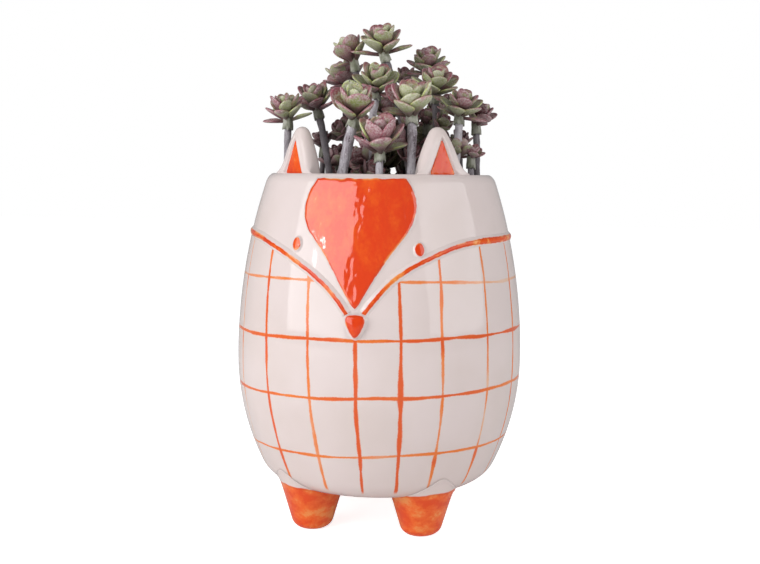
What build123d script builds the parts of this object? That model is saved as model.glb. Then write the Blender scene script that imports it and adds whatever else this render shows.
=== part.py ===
from build123d import *
import os
from math import cos, radians, sin, sqrt, tan

# An animal shaped planter: an egg-shaped ceramic pot with a fox face, two ears and four feet, and a
# removable planting of artificial succulents that stands in it on a foam block.
# The pot's axis is the Z axis, the ground is z = 0 and the face looks along -Y. Left is -X.

# Pot: an egg of revolution, whose outline is a heel arc, a bowl arc and a crown arc, all tangent
belly_radius = 68.2
belly_height = 78.0
base_radius = 43.0
base_height = 19.5
bowl_arc_radius = 115.0
rim_radius = 53.5
rim_height = 165.0
wall = 3.6
floor_thickness = 4.5
lip_outer_round = 2.3
lip_inner_round = 1.0
drain_radius = 5.0

# Feet: four rounded cones luted to the underside
foot_sole_radius = 8.7
foot_flare_share = 0.3
foot_edge_round = 3.6
foot_across = 51.2
foot_along = 61.0
foot_root = 12.0

# Ears: leaning domes that a steeper plane cuts flat in front, each with a coloured triangle in its front
ear_half_width = 11.0
ear_rise = 21.2
ear_root = 7.0
ear_tip_round = 3.8
ear_splay = 12.4
ear_turn = 43.6
ear_lean = 9.7
ear_axis_radius = 47.6
ear_front_radius = 49.6
ear_front_lean = 3.5
inlay_half_width = 6.9
inlay_rise = 15.6
inlay_gap = 0.6
inlay_corner_round = 1.2
inlay_recess = 0.9
inlay_thickness = 0.7
inlay_clearance = 0.1

# Face: relief pieces on the front of the pot
nose_height = 100.2
nose_corner_reach = 6.4
nose_top = 4.4
nose_point = 7.6
nose_corner_round = 2.6
nose_point_round = 1.8
nose_edge_round = 1.5
nose_standout = 3.2
eye_height = 133.6
eye_turn = 25.3
eye_half_width = 1.9
eye_half_height = 2.6
eye_standout = 1.2
blaze_relief = 0.7
blaze_top_gap = 2.5
blaze_rise = 54.7
blaze_half_width = 24.4
ridge_relief = 0.9
ridge_width = 2.4
ridge_side_height = 136.6
ridge_start_height = 105.6

# Half outline of the blaze from its tip: shares of its half width and of its rise
blaze_flank_shares = ((0.05, 0.005), (0.16, 0.08), (0.34, 0.235), (0.68, 0.46), (0.94, 0.655))
blaze_brow_shares = ((1.0, 0.76), (0.97, 0.86), (0.88, 0.955), (0.77, 1.0))

# Middle line of the ridge from the nose to the side: shares of the pot's radius there and of the ridge's rise
ridge_line_shares = ((0.06, 0.0), (0.13, 0.19), (0.22, 0.38), (0.32, 0.55), (0.44, 0.72), (0.57, 0.85),
                     (0.72, 0.95), (0.86, 0.99), (0.98, 1.0))

# Planting: a foam block that stands on the pot's floor and passes its mouth and ears, under fine gravel
mouth_clearance = 0.7
ear_clearance = 0.8
foam_base_radius = 41.0
dressing_depth = 12.0
dressing_thickness = 6.0
stem_radius = 1.9
stem_sink = 24.0
stem_clearance = 0.1

# Heads: a sleeve over the stem's end, and whorls of fleshy leaves round a core
head_radius = 11.3
sleeve_grip = 4.5
sleeve_crown = 1.6
sleeve_wall = 0.6
sleeve_clearance = 0.15

# Rosettes of radius 1: each whorl has a number of leaves, a height share, a rise and a turn in degrees,
# and length and width shares
open_whorl_shares = ((5, 0.10, 24, 0, 1.0, 0.74), (5, 0.26, 46, 36, 0.86, 0.66), (3, 0.42, 68, 12, 0.66, 0.50))
cup_whorl_shares = ((4, 0.09, 33, 0, 1.0, 0.84), (4, 0.21, 54, 45, 0.95, 0.78), (3, 0.36, 74, 10, 0.78, 0.58))
bud_whorl_shares = ((5, 0.12, 30, 0, 0.94, 0.70), (4, 0.32, 58, 33, 0.76, 0.58))
leaf_section_shares = ((0.0, 0.34, 0.8), (0.36, 0.74, 1.0), (0.74, 1.0, 0.9), (1.0, 0.42, 0.35))
leaf_thickness_share = 0.21
leaf_curl = 34.0
leaf_start_share = 0.10
core_radius_share = 0.20
core_height_share = 0.62

# Plants: root x and y and head x and y as shares of the pot's mouth, and the head's height above the rim as a
# share of the tallest plant's, then the bow of the stem in x and y as shares of the mouth, the head's size
# share, the stem's girth share, the way that the head tips and by how much in degrees, and its rosette
tallest_plant = 58.0
plant_shares = {
    "top": (0.26, 0.17, -0.019, 0.165, 1.000, 0.1, 0.02, 1.12, 1.0, 262, 22, "open"),
    "upper_left": (-0.14, 0.26, -0.32, 0.23, 0.934, 0.04, 0.0, 0.98, 0.9, 200, 22, "cup"),
    "left_centre": (-0.44, 0.62, -0.43, 0.43, 0.750, -0.04, 0.04, 1.00, 0.9, 215, 26, "open"),
    "left_mid": (-0.56, 0.2, -0.688, 0.22, 0.536, 0.06, 0.03, 1.06, 1.0, 240, 22, "open"),
    "far_left": (-0.88, -0.06, -0.903, -0.1, 0.436, -0.02, 0.02, 1.00, 1.0, 230, 14, "open"),
    "front_left": (-0.34, -0.6, -0.166, -0.49, 0.432, -0.03, -0.02, 1.26, 1.25, 285, 31, "cup"),
    "centre": (-0.12, -0.3, -0.056, 0.03, 0.672, -0.02, -0.06, 1.08, 1.0, 280, 30, "open"),
    "front_right": (0.33, -0.52, 0.35, -0.39, 0.464, 0.02, -0.03, 1.28, 1.15, 270, 30, "cup"),
    "right_upper": (0.42, 0.56, 0.375, 0.56, 0.867, 0.03, 0.02, 1.00, 0.9, 260, 18, "open"),
    "right_mid": (0.52, 0.22, 0.49, 0.13, 0.660, 0.03, 0.03, 1.06, 1.0, 290, 26, "open"),
    "right_low": (0.66, -0.16, 0.75, -0.03, 0.474, 0.02, -0.04, 0.98, 1.0, 310, 20, "open"),
    "far_right": (0.86, 0.16, 0.886, 0.22, 0.410, 0.03, 0.01, 0.86, 0.9, 330, 24, "cup"),
    "front_low": (0.05, -0.74, 0.094, -0.61, 0.164, 0.02, -0.02, 1.28, 1.0, 270, 24, "cup"),
    "back_left": (-0.72, 0.46, -0.686, 0.5, 0.220, -0.01, 0.02, 0.76, 0.8, 235, 20, "bud"),
    "back_right": (0.68, 0.54, 0.7, 0.54, 0.228, 0.02, 0.01, 0.72, 0.8, 292, 20, "bud"),
    "back_centre": (0.06, 0.82, 0.128, 0.71, 0.767, 0.01, 0.05, 0.76, 0.9, 262, 20, "bud"),
    "back_mid": (0.4, 0.8, 0.505, 0.79, 0.525, -0.02, 0.03, 0.88, 0.9, 280, 20, "bud"),
    "mid_deep": (-0.04, 0.52, -0.01, 0.41, 0.450, -0.03, 0.03, 1.00, 1.0, 265, 16, "bud"),
    "deep_right": (0.44, 0.4, 0.4, 0.35, 0.410, -0.02, 0.02, 0.70, 0.9, 288, 18, "bud"),
    "low_centre": (0.18, 0.62, 0.15, 0.57, 0.130, -0.01, 0.02, 0.66, 0.9, 292, 18, "bud"),
    "low_left": (-0.47, 0.43, -0.5, 0.38, 0.120, 0.01, 0.02, 0.62, 0.9, 246, 18, "bud"),
    "low_right": (0.84, -0.07, 0.87, -0.03, 0.130, 0.01, -0.01, 0.56, 0.8, 318, 22, "bud"),
}

cut_overrun = 2.0
standing = (Align.CENTER, Align.CENTER, Align.MIN)

crown_rise = rim_height - belly_height
crown_arc_radius = (crown_rise**2 + (belly_radius - rim_radius) ** 2) / (2 * (belly_radius - rim_radius))


def radius_at(height, inset=0):
    """The radius of the pot's crown at a height, at its outer face or inset from it."""
    return belly_radius - crown_arc_radius + sqrt((crown_arc_radius - inset) ** 2 - (height - belly_height) ** 2)


mouth_radius = radius_at(rim_height, wall)
foam_top_radius = mouth_radius - mouth_clearance
dressing_top = rim_height - dressing_depth
foam_top = dressing_top - dressing_thickness
floor_height = base_height + floor_thickness


def egg_section(inset=0, base_inset=0):
    """Half the section of the pot's outer form, or of a form inside it, or outside it for a negative inset."""
    foot_z = base_height + base_inset
    fall = belly_height - foot_z
    bowl_radius = bowl_arc_radius - inset
    bowl_centre = Vector(belly_radius - bowl_arc_radius, belly_height)
    span = base_radius - bowl_centre.X
    heel_radius = (span**2 + fall**2 - bowl_radius**2) / (2 * (fall - bowl_radius))
    heel_centre = Vector(base_radius, foot_z + heel_radius)
    heel_end = bowl_centre + (heel_centre - bowl_centre).normalized() * bowl_radius
    belly = Vector(belly_radius - inset, belly_height)
    top = Vector(radius_at(rim_height, inset), rim_height)
    return make_face(Curve() + [
        Line((0, foot_z), (base_radius, foot_z)),
        RadiusArc((base_radius, foot_z), heel_end, -heel_radius),
        RadiusArc(heel_end, belly, -bowl_radius),
        RadiusArc(belly, top, inset - crown_arc_radius),
        Line(top, (0, rim_height)),
        Line((0, rim_height), (0, foot_z)),
    ])


def turned(section):
    """A section turned round the pot's axis."""
    return revolve(Plane.XZ * section, Axis.Z)


pot_form = turned(egg_section())


def make_pot_shell():
    section = egg_section() - egg_section(wall, floor_thickness)
    section = fillet(section.vertices().group_by(Axis.Y)[-1].sort_by(Axis.X)[-1:], lip_outer_round)
    section = fillet(section.vertices().group_by(Axis.Y)[-1].sort_by(Axis.X)[:1], lip_inner_round)
    drain = Cylinder(drain_radius, floor_height + cut_overrun, align=standing)
    return turned(section) - drain


def on_pot_skin(outline, relief, behind=False):
    """An outline in the XZ plane, carried onto the pot's front or back as a skin of the given relief."""
    reach = belly_radius + cut_overrun
    skin = turned(egg_section(-relief)) - pot_form
    slab = extrude(Plane.XZ * outline, -reach if behind else reach)
    return skin & slab


def make_blaze():
    tip = rim_height - blaze_top_gap - blaze_rise
    flank = [(x * blaze_half_width, tip + z * blaze_rise) for x, z in blaze_flank_shares]
    brow = [(x * blaze_half_width, tip + z * blaze_rise) for x, z in blaze_brow_shares]
    right = Spline(flank + brow)
    left = Spline([(-x, z) for x, z in flank + brow])
    top = Line(right @ 1, left @ 1)
    point = Line(left @ 0, right @ 0)
    return on_pot_skin(make_face(Curve() + [right, top, left, point]), blaze_relief)


def make_ridge():
    rise = ridge_side_height - ridge_start_height
    reach = radius_at(ridge_side_height)
    line = [(x * reach, ridge_start_height + z * rise) for x, z in ridge_line_shares]
    side_end = (belly_radius + cut_overrun, ridge_side_height)
    path = Curve() + [Spline(line, tangents=[(1, 1), (1, 0)], tangent_scalars=[1, 1]), Line(line[-1], side_end)]
    right = on_pot_skin(trace(path, ridge_width), ridge_relief)
    girth = 2 * (belly_radius + cut_overrun)
    back_band = Pos(0, ridge_side_height) * Rectangle(girth, ridge_width)
    return right + mirror(right, Plane.YZ) + on_pot_skin(back_band, ridge_relief, behind=True)


def make_nose():
    corner = (nose_corner_reach, nose_top)
    outline = make_face(Polyline(corner, (-nose_corner_reach, nose_top), (0, -nose_point), close=True))
    corners = outline.vertices().sort_by(Axis.Y)
    outline = fillet(corners[1:], nose_corner_round)
    outline = fillet(outline.vertices().sort_by(Axis.Y)[:1], nose_point_round)
    front = radius_at(nose_height) + nose_standout
    nose = extrude(Plane.XZ * (Pos(0, nose_height) * outline), front)
    rounded = nose.faces().sort_by(Axis.Y)[0].edges()
    return fillet(rounded, nose_edge_round) - pot_form


def make_eye(side):
    half = make_face(Curve() + [
        EllipticalCenterArc((0, 0), eye_half_width, eye_half_height, -90, arc_size=180),
        Line((0, eye_half_height), (0, -eye_half_height)),
    ])
    bead = revolve(Plane.XZ * half, Axis.Z)
    reach = radius_at(eye_height) + eye_standout - eye_half_width
    place = Rot(0, 0, side * eye_turn) * Pos(0, -reach, eye_height)
    return place * bead - pot_form


def make_foot(side, end):
    height = base_height + foot_root
    root_radius = foot_sole_radius + foot_flare_share * height
    foot = Cone(foot_sole_radius, root_radius, height, align=standing)
    foot = fillet(foot.edges().sort_by(Axis.Z)[:1], foot_edge_round)
    place = Pos(side * foot_across / 2, end * foot_along / 2)
    return place * foot - pot_form


ear_tip_height = ear_rise - ear_tip_round
ear_arc_radius = (ear_half_width**2 + ear_tip_height**2 - ear_tip_round**2) / (
    2 * (ear_half_width * cos(radians(ear_splay)) - ear_tip_height * sin(radians(ear_splay)) - ear_tip_round)
)
ear_arc_centre = Vector(
    ear_half_width - ear_arc_radius * cos(radians(ear_splay)), -ear_arc_radius * sin(radians(ear_splay))
)


def ear_half_width_at(rise):
    """Half the ear's width at a height above its root line."""
    return ear_arc_centre.X + sqrt(ear_arc_radius**2 - (rise - ear_arc_centre.Y) ** 2)


def ear_turned(side):
    """The turn that takes the nose's direction to an ear's."""
    return Rot(0, 0, side * ear_turn)


def ear_front(side):
    """The plane of an ear's flat front, with the origin on its root line."""
    return ear_turned(side) * Pos(0, -ear_front_radius, rim_height) * Rot(-ear_front_lean, 0, 0)


def ear_dome():
    """A pointed dome with a rounded underside, standing on the origin."""
    tip = Vector(0, ear_tip_height)
    meet = ear_arc_centre + (tip - ear_arc_centre).normalized() * ear_arc_radius
    half = make_face(Curve() + [
        RadiusArc((ear_half_width, 0), meet, -ear_arc_radius),
        RadiusArc(meet, (0, ear_rise), -ear_tip_round),
        Line((0, ear_rise), (0, -ear_root)),
        EllipticalCenterArc((0, 0), ear_half_width, ear_root, -90, arc_size=90),
    ])
    return revolve(Plane.XZ * half, Axis.Z)


def inlay_outline(gap=0):
    """The triangle in the ear's front, drawn in by a gap."""
    slope = sqrt(inlay_half_width**2 + inlay_rise**2) / inlay_half_width
    apex = inlay_gap + inlay_rise - gap * slope
    foot = inlay_gap + gap
    half_width = (apex - foot) * inlay_half_width / inlay_rise
    outline = make_face(Polyline((half_width, foot), (0, apex), (-half_width, foot), close=True))
    return fillet(outline.vertices(), inlay_corner_round - gap)


def make_left_ear():
    dome = ear_turned(-1) * Pos(0, -ear_axis_radius, rim_height) * Rot(-ear_lean, 0, 0) * ear_dome()
    girth = 2 * (ear_half_width + ear_rise)
    block = Box(girth, girth, 2 * girth, align=(Align.CENTER, Align.MAX, Align.CENTER))
    recess = extrude(Plane.XZ * inlay_outline(), -inlay_recess)
    return dome - ear_front(-1) * (block + recess) - pot_shell


def make_inner_ear(side):
    floor = Pos(0, inlay_recess - inlay_thickness)
    inlay = extrude(Plane.XZ * inlay_outline(inlay_clearance), -inlay_thickness)
    return ear_front(side) * floor * inlay


def ear_passages():
    """Upright cuts in the planting that let it lift out past the ears."""
    mid_rise = ear_rise / 2
    overhang = max(0, mid_rise * tan(radians(ear_lean)) - (ear_half_width - ear_half_width_at(mid_rise)))
    cut = Cylinder(ear_half_width + ear_clearance, 2 * rim_height)
    return [ear_turned(side) * Pos(0, overhang - ear_axis_radius) * cut for side in (-1, 1)]


def stem_path(plant):
    """The stem's line from its root in the foam to its end under the head."""
    root_x, root_y, head_x, head_y, height, bow_x, bow_y = plant[:7]
    root = Vector(root_x * mouth_radius, root_y * mouth_radius, dressing_top - stem_sink)
    end = Vector(head_x * mouth_radius, head_y * mouth_radius, rim_height + height * tallest_plant)
    middle = (root + end) * 0.5 + Vector(bow_x * mouth_radius, bow_y * mouth_radius, 0)
    return ThreePointArc(root, middle, end)


def make_stem(plant, clearance=0):
    path = stem_path(plant)
    girth = stem_radius * plant[8] + clearance
    return sweep(Plane(path @ 0, z_dir=path % 0) * Circle(girth), path)


def make_leaf(length, width, thickness):
    """A fleshy leaf that lies along +X and curls upwards, wide near its tip."""
    sections = []
    for along, wide, thick in leaf_section_shares:
        curl = radians(leaf_curl) * along
        middle = (length * along * cos(curl / 2), 0, length * along * sin(curl / 2))
        across = Plane(middle, x_dir=(0, 1, 0), z_dir=(cos(curl), 0, sin(curl)))
        sections.append(across * Ellipse(width * wide / 2, thickness * thick / 2))
    return loft(sections)


def make_rosette(whorl_shares):
    """A rosette of radius 1 that opens upwards."""
    rosette = Cone(core_radius_share, core_radius_share / 2, core_height_share, align=standing)
    for count, height, rise, turn, length, width in whorl_shares:
        leaf = make_leaf(length - leaf_start_share, width, leaf_thickness_share)
        for index in range(count):
            place = Rot(0, 0, turn + 360 / count * index) * Pos(leaf_start_share, 0, height) * Rot(0, -rise, 0)
            rosette += place * leaf
    return rosette


def make_head(plant, rosette):
    path = stem_path(plant)
    size, girth, tip_way, tip = plant[7:11]
    bore = stem_radius * girth + sleeve_clearance
    outside = bore + sleeve_wall
    sleeve = Pos(0, 0, -sleeve_grip) * Cylinder(outside, sleeve_grip + sleeve_crown, align=standing)
    sleeve = fillet(sleeve.edges().sort_by(Axis.Z)[-1:], sleeve_crown)
    seat = Plane(path @ 1, z_dir=path % 1)
    way = Vector(cos(radians(tip_way)), sin(radians(tip_way)), 0)
    axis = Vector(0, 0, 1) * cos(radians(tip)) + way * sin(radians(tip))
    flower = Plane(seat.origin, x_dir=way.cross(Vector(0, 0, 1)), z_dir=axis)
    head = seat * sleeve + flower * scale(rosette, by=head_radius * size)
    opening = Pos(0, 0, -sleeve_grip) * Cylinder(bore, sleeve_grip, align=standing)
    return head - seat * opening


pot_shell = make_pot_shell()
small_face = {"nose": make_nose(), "eye_left": make_eye(-1), "eye_right": make_eye(1)}
blaze = make_blaze() - list(small_face.values())
nodes = {
    "pot_shell": pot_shell,
    "brow_ridge": make_ridge() - blaze - list(small_face.values()),
    "forehead_blaze": blaze,
    **small_face,
}
nodes["ear_left"] = make_left_ear()
nodes["ear_right"] = mirror(nodes["ear_left"], Plane.YZ)
for side, side_name in ((-1, "left"), (1, "right")):
    nodes["inner_ear_" + side_name] = make_inner_ear(side)
    for end, end_name in ((-1, "front"), (1, "rear")):
        nodes["foot_" + end_name + "_" + side_name] = make_foot(side, end)

foam_rise = foam_top - floor_height
foam_plug = Pos(0, 0, floor_height) * Cone(foam_base_radius, foam_top_radius, foam_rise, align=standing)
dressing = Pos(0, 0, foam_top) * Cylinder(foam_top_radius, dressing_thickness, align=standing)
stem_holes = [make_stem(plant, stem_clearance) for plant in plant_shares.values()]
nodes["foam_plug"] = foam_plug - ear_passages() - stem_holes
nodes["dressing"] = dressing - ear_passages() - stem_holes

rosettes = {
    "open": make_rosette(open_whorl_shares),
    "cup": make_rosette(cup_whorl_shares),
    "bud": make_rosette(bud_whorl_shares),
}
for name, plant in plant_shares.items():
    nodes["stem_" + name] = make_stem(plant)
    nodes["head_" + name] = make_head(plant, rosettes[plant[11]])

os.makedirs("parts", exist_ok=True)
for name, solid in nodes.items():
    solid.label = name
    export_step(solid, f"parts/{name}.step")
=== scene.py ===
import math

import bmesh
import bpy
import numpy as np
from mathutils import Matrix, Vector


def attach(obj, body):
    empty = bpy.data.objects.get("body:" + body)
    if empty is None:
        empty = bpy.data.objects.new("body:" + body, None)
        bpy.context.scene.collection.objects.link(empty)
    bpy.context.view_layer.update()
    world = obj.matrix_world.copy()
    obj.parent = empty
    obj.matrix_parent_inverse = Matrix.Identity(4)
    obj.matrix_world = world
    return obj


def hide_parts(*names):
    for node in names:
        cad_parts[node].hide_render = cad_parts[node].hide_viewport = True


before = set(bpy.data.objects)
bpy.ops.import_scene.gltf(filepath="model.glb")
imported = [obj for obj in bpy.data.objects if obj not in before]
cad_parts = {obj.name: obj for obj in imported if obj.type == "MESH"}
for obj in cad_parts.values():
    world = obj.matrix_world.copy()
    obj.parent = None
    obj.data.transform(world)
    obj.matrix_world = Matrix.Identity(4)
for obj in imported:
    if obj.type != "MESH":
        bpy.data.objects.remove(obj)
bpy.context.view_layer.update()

# Sizes of the pot, in metres: heel, bowl and crown arcs that meet as tangents
BELLY_RADIUS = 0.0682
BELLY_HEIGHT = 0.078
BASE_RADIUS = 0.043
BASE_HEIGHT = 0.0195
BOWL_ARC = 0.115
RIM_RADIUS = 0.0535
RIM_HEIGHT = 0.165
WALL = 0.0036
FLOOR = 0.0045
LIP_OUTER = 0.0024
LIP_DROP = 0.0040
LIP_INNER = 0.001
DRAIN_RADIUS = 0.005
SAME_POINT = 1e-7

CROWN_RISE = RIM_HEIGHT - BELLY_HEIGHT
CROWN_ARC = (CROWN_RISE**2 + (BELLY_RADIUS - RIM_RADIUS) ** 2) / (2 * (BELLY_RADIUS - RIM_RADIUS))

# The face
NOSE_HEIGHT = 0.1004
NOSE_OFFSET = 0.0013
NOSE_STANDOUT = 0.0031
EYE_HEIGHTS = {-1: 0.1343, 1: 0.1328}
EYE_TURN = math.radians(25.4)
EYE_HALF_WIDTH = 0.0021
EYE_HALF_RISE = 0.0029
EYE_STANDOUT = 0.0012
BLAZE_RELIEF = 0.0008
BROW_RELIEF = 0.0010
BROW_HALF_WIDTH = 0.0023
BROW_PAINT_THIN = 0.0010
BROW_PAINT_WIDE = 0.0015

# Ears: a dome whose plan is an ellipse, cut flat in front by a steeper plane
EAR_HALF_WIDTH = 0.0118
EAR_DEPTH_SHARE = 0.76
EAR_RISE = 0.0211
EAR_ROOT = 0.007
EAR_TIP_ROUND = 0.0049
EAR_SPLAY = math.radians(13.5)
EAR_TURN = math.radians(43.9)
EAR_LEAN = math.radians(5.6)
EAR_AXIS_RADIUS = 0.0463
EAR_FRONT_RADIUS = 0.0494
EAR_FRONT_LEAN = math.radians(2.8)
EAR_FLARE = 0.0034
EAR_EDGE_ROUND = 0.0024
INLAY_HALF_WIDTH = 0.0074
INLAY_RISE = 0.0167
INLAY_GAP = -0.0005
INLAY_CORNER = 0.0009
INLAY_RECESS = 0.0009

# Feet
FOOT_SOLE_RADIUS = 0.0087
FOOT_FLARE_SHARE = 0.3
FOOT_EDGE_ROUND = 0.0036
FOOT_ACROSS = 0.0512
FOOT_ALONG = 0.061

# The planting
DRESSING_TOP = RIM_HEIGHT - 0.012
STEM_RADIUS = 0.0019
STEM_SINK = 0.024
HEAD_RADIUS = 0.0113
SLEEVE_GRIP = 0.0045
TALLEST_PLANT = 0.058

# Plants: root and head as shares of the mouth's radius, the head's height as a share of the tallest, the
# bow of the stem, the head's size and the stem's girth as shares, which way the head tips and how far in
# degrees, the rosette's habit, and how much of its green has turned to mauve
PLANTS = {
    "top": (0.26, 0.17, -0.019, 0.165, 1.000, 0.1, 0.02, 1.12, 1.0, 262, 22, "open", 0.35),
    "upper_left": (-0.14, 0.26, -0.32, 0.23, 0.934, 0.04, 0.0, 0.98, 0.9, 200, 22, "cup", 0.42),
    "left_centre": (-0.44, 0.62, -0.43, 0.43, 0.750, -0.04, 0.04, 1.00, 0.9, 215, 26, "open", 0.75),
    "left_mid": (-0.56, 0.2, -0.688, 0.22, 0.536, 0.06, 0.03, 1.06, 1.0, 240, 22, "open", 0.5),
    "far_left": (-0.88, -0.06, -0.903, -0.1, 0.436, -0.02, 0.02, 1.00, 1.0, 230, 14, "open", 0.45),
    "front_left": (-0.34, -0.6, -0.166, -0.49, 0.432, -0.03, -0.02, 1.26, 1.25, 285, 31, "cup", 0.18),
    "centre": (-0.12, -0.3, -0.056, 0.03, 0.672, -0.02, -0.06, 1.08, 1.0, 280, 30, "open", 0.38),
    "front_right": (0.33, -0.52, 0.35, -0.39, 0.464, 0.02, -0.03, 1.28, 1.15, 270, 30, "cup", 0.45),
    "right_upper": (0.42, 0.56, 0.375, 0.56, 0.867, 0.03, 0.02, 1.00, 0.9, 260, 18, "open", 0.62),
    "right_mid": (0.52, 0.22, 0.49, 0.13, 0.660, 0.03, 0.03, 1.06, 1.0, 290, 26, "open", 0.3),
    "right_low": (0.66, -0.16, 0.75, -0.03, 0.474, 0.02, -0.04, 0.98, 1.0, 310, 20, "open", 0.5),
    "far_right": (0.86, 0.16, 0.886, 0.22, 0.410, 0.03, 0.01, 0.86, 0.9, 330, 24, "cup", 0.95),
    "front_low": (0.05, -0.74, 0.094, -0.61, 0.164, 0.02, -0.02, 1.28, 1.0, 270, 24, "cup", 0.6),
    "back_left": (-0.72, 0.46, -0.686, 0.5, 0.220, -0.01, 0.02, 0.76, 0.8, 235, 20, "bud", 1),
    "back_right": (0.68, 0.54, 0.7, 0.54, 0.228, 0.02, 0.01, 0.72, 0.8, 292, 20, "bud", 0.65),
    "back_centre": (0.06, 0.82, 0.128, 0.71, 0.767, 0.01, 0.05, 0.76, 0.9, 262, 20, "bud", 1),
    "back_mid": (0.4, 0.8, 0.505, 0.79, 0.525, -0.02, 0.03, 0.88, 0.9, 280, 20, "bud", 0.5),
    "mid_deep": (-0.04, 0.52, -0.01, 0.41, 0.450, -0.03, 0.03, 1.00, 1.0, 265, 16, "bud", 0.55),
    "deep_right": (0.44, 0.4, 0.4, 0.35, 0.410, -0.02, 0.02, 0.70, 0.9, 288, 18, "bud", 0.85),
    "low_centre": (0.18, 0.62, 0.15, 0.57, 0.130, -0.01, 0.02, 0.66, 0.9, 292, 18, "bud", 0.95),
    "low_left": (-0.47, 0.43, -0.5, 0.38, 0.120, 0.01, 0.02, 0.62, 0.9, 246, 18, "bud", 1),
    "low_right": (0.84, -0.07, 0.87, -0.03, 0.130, 0.01, -0.01, 0.56, 0.8, 318, 22, "bud", 1.1),
}


def crown_radius(height, inset=0):
    """The pot's radius above its belly."""
    return BELLY_RADIUS - CROWN_ARC + math.sqrt((CROWN_ARC - inset) ** 2 - (height - BELLY_HEIGHT) ** 2)


def bowl_arcs(inset, foot_height):
    """The centres and radii of the bowl and heel arcs, and the height where they meet."""
    fall = BELLY_HEIGHT - foot_height
    bowl = BOWL_ARC - inset
    bowl_x = BELLY_RADIUS - BOWL_ARC
    span = BASE_RADIUS - bowl_x
    heel = (span**2 + fall**2 - bowl**2) / (2 * (fall - bowl))
    heel_z = foot_height + heel
    slope = math.atan2(heel_z - BELLY_HEIGHT, BASE_RADIUS - bowl_x)
    return bowl_x, bowl, heel, heel_z, BELLY_HEIGHT + bowl * math.sin(slope)


def pot_radius(height, inset=0, foot_height=BASE_HEIGHT):
    """The pot's radius at any height."""
    if height >= BELLY_HEIGHT:
        return crown_radius(height, inset)
    bowl_x, bowl, heel, heel_z, meet = bowl_arcs(inset, foot_height)
    if height >= meet:
        return bowl_x + math.sqrt(bowl**2 - (height - BELLY_HEIGHT) ** 2)
    return BASE_RADIUS + math.sqrt(max(heel**2 - (height - heel_z) ** 2, 0))


def underside(radius):
    """The height of the pot's outer face at a radius, below its belly."""
    if radius <= BASE_RADIUS:
        return BASE_HEIGHT
    low, high = BASE_HEIGHT, BELLY_HEIGHT
    for _ in range(40):
        middle = (low + high) / 2
        low, high = (middle, high) if pot_radius(middle) < radius else (low, middle)
    return low


mouth_radius = crown_radius(RIM_HEIGHT, WALL)


def smooth(edge_low, edge_high, value):
    """A smooth step from 0 to 1."""
    t = np.clip((value - edge_low) / (edge_high - edge_low), 0, 1)
    return t * t * (3 - 2 * t)


def placed(name, data):
    """A new object in the scene."""
    piece = bpy.data.objects.new(name, data)
    bpy.context.scene.collection.objects.link(piece)
    return piece


def mesh_object(name, points, faces, attributes=None):
    """A smooth-shaded mesh object with its place in its mesh."""
    mesh = bpy.data.meshes.new(name)
    mesh.from_pydata([tuple(p) for p in points], [], faces)
    mesh.validate()
    mesh.shade_smooth()
    for key, values in (attributes or {}).items():
        mesh.attributes.new(key, "FLOAT", "POINT").data.foreach_set("value", np.asarray(values, np.float32))
    return placed(name, mesh)


def grid_faces(rows, columns, round_rows=False):
    """The faces of a grid of points, closed round its columns, and round its rows if asked."""
    faces = []
    for row in range(rows if round_rows else rows - 1):
        here, up = row * columns, (row + 1) % rows * columns
        for column in range(columns):
            on = (column + 1) % columns
            faces.append((here + column, here + on, up + on, up + column))
    return faces


def tube_faces(rows, columns):
    """The faces of a row of rings, with both its ends closed."""
    last = (rows - 1) * columns
    return [*grid_faces(rows, columns), tuple(range(columns)), tuple(range(last + columns - 1, last - 1, -1))]


def outward(piece):
    """Merges doubles and turns the faces outwards."""
    work = bmesh.new()
    work.from_mesh(piece.data)
    bmesh.ops.remove_doubles(work, verts=work.verts, dist=SAME_POINT)
    bmesh.ops.recalc_face_normals(work, faces=work.faces)
    work.to_mesh(piece.data)
    work.free()
    return piece


def finish_piece(piece, body, slot, material, *nodes):
    """Gives a piece its material and its body, and hides the nodes that it stands for. Its slot is not used.
    """
    if material is not None:
        piece.data.materials.clear()
        piece.data.materials.append(material)
    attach(piece, body)
    if nodes:
        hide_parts(*nodes)
    return piece


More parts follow.
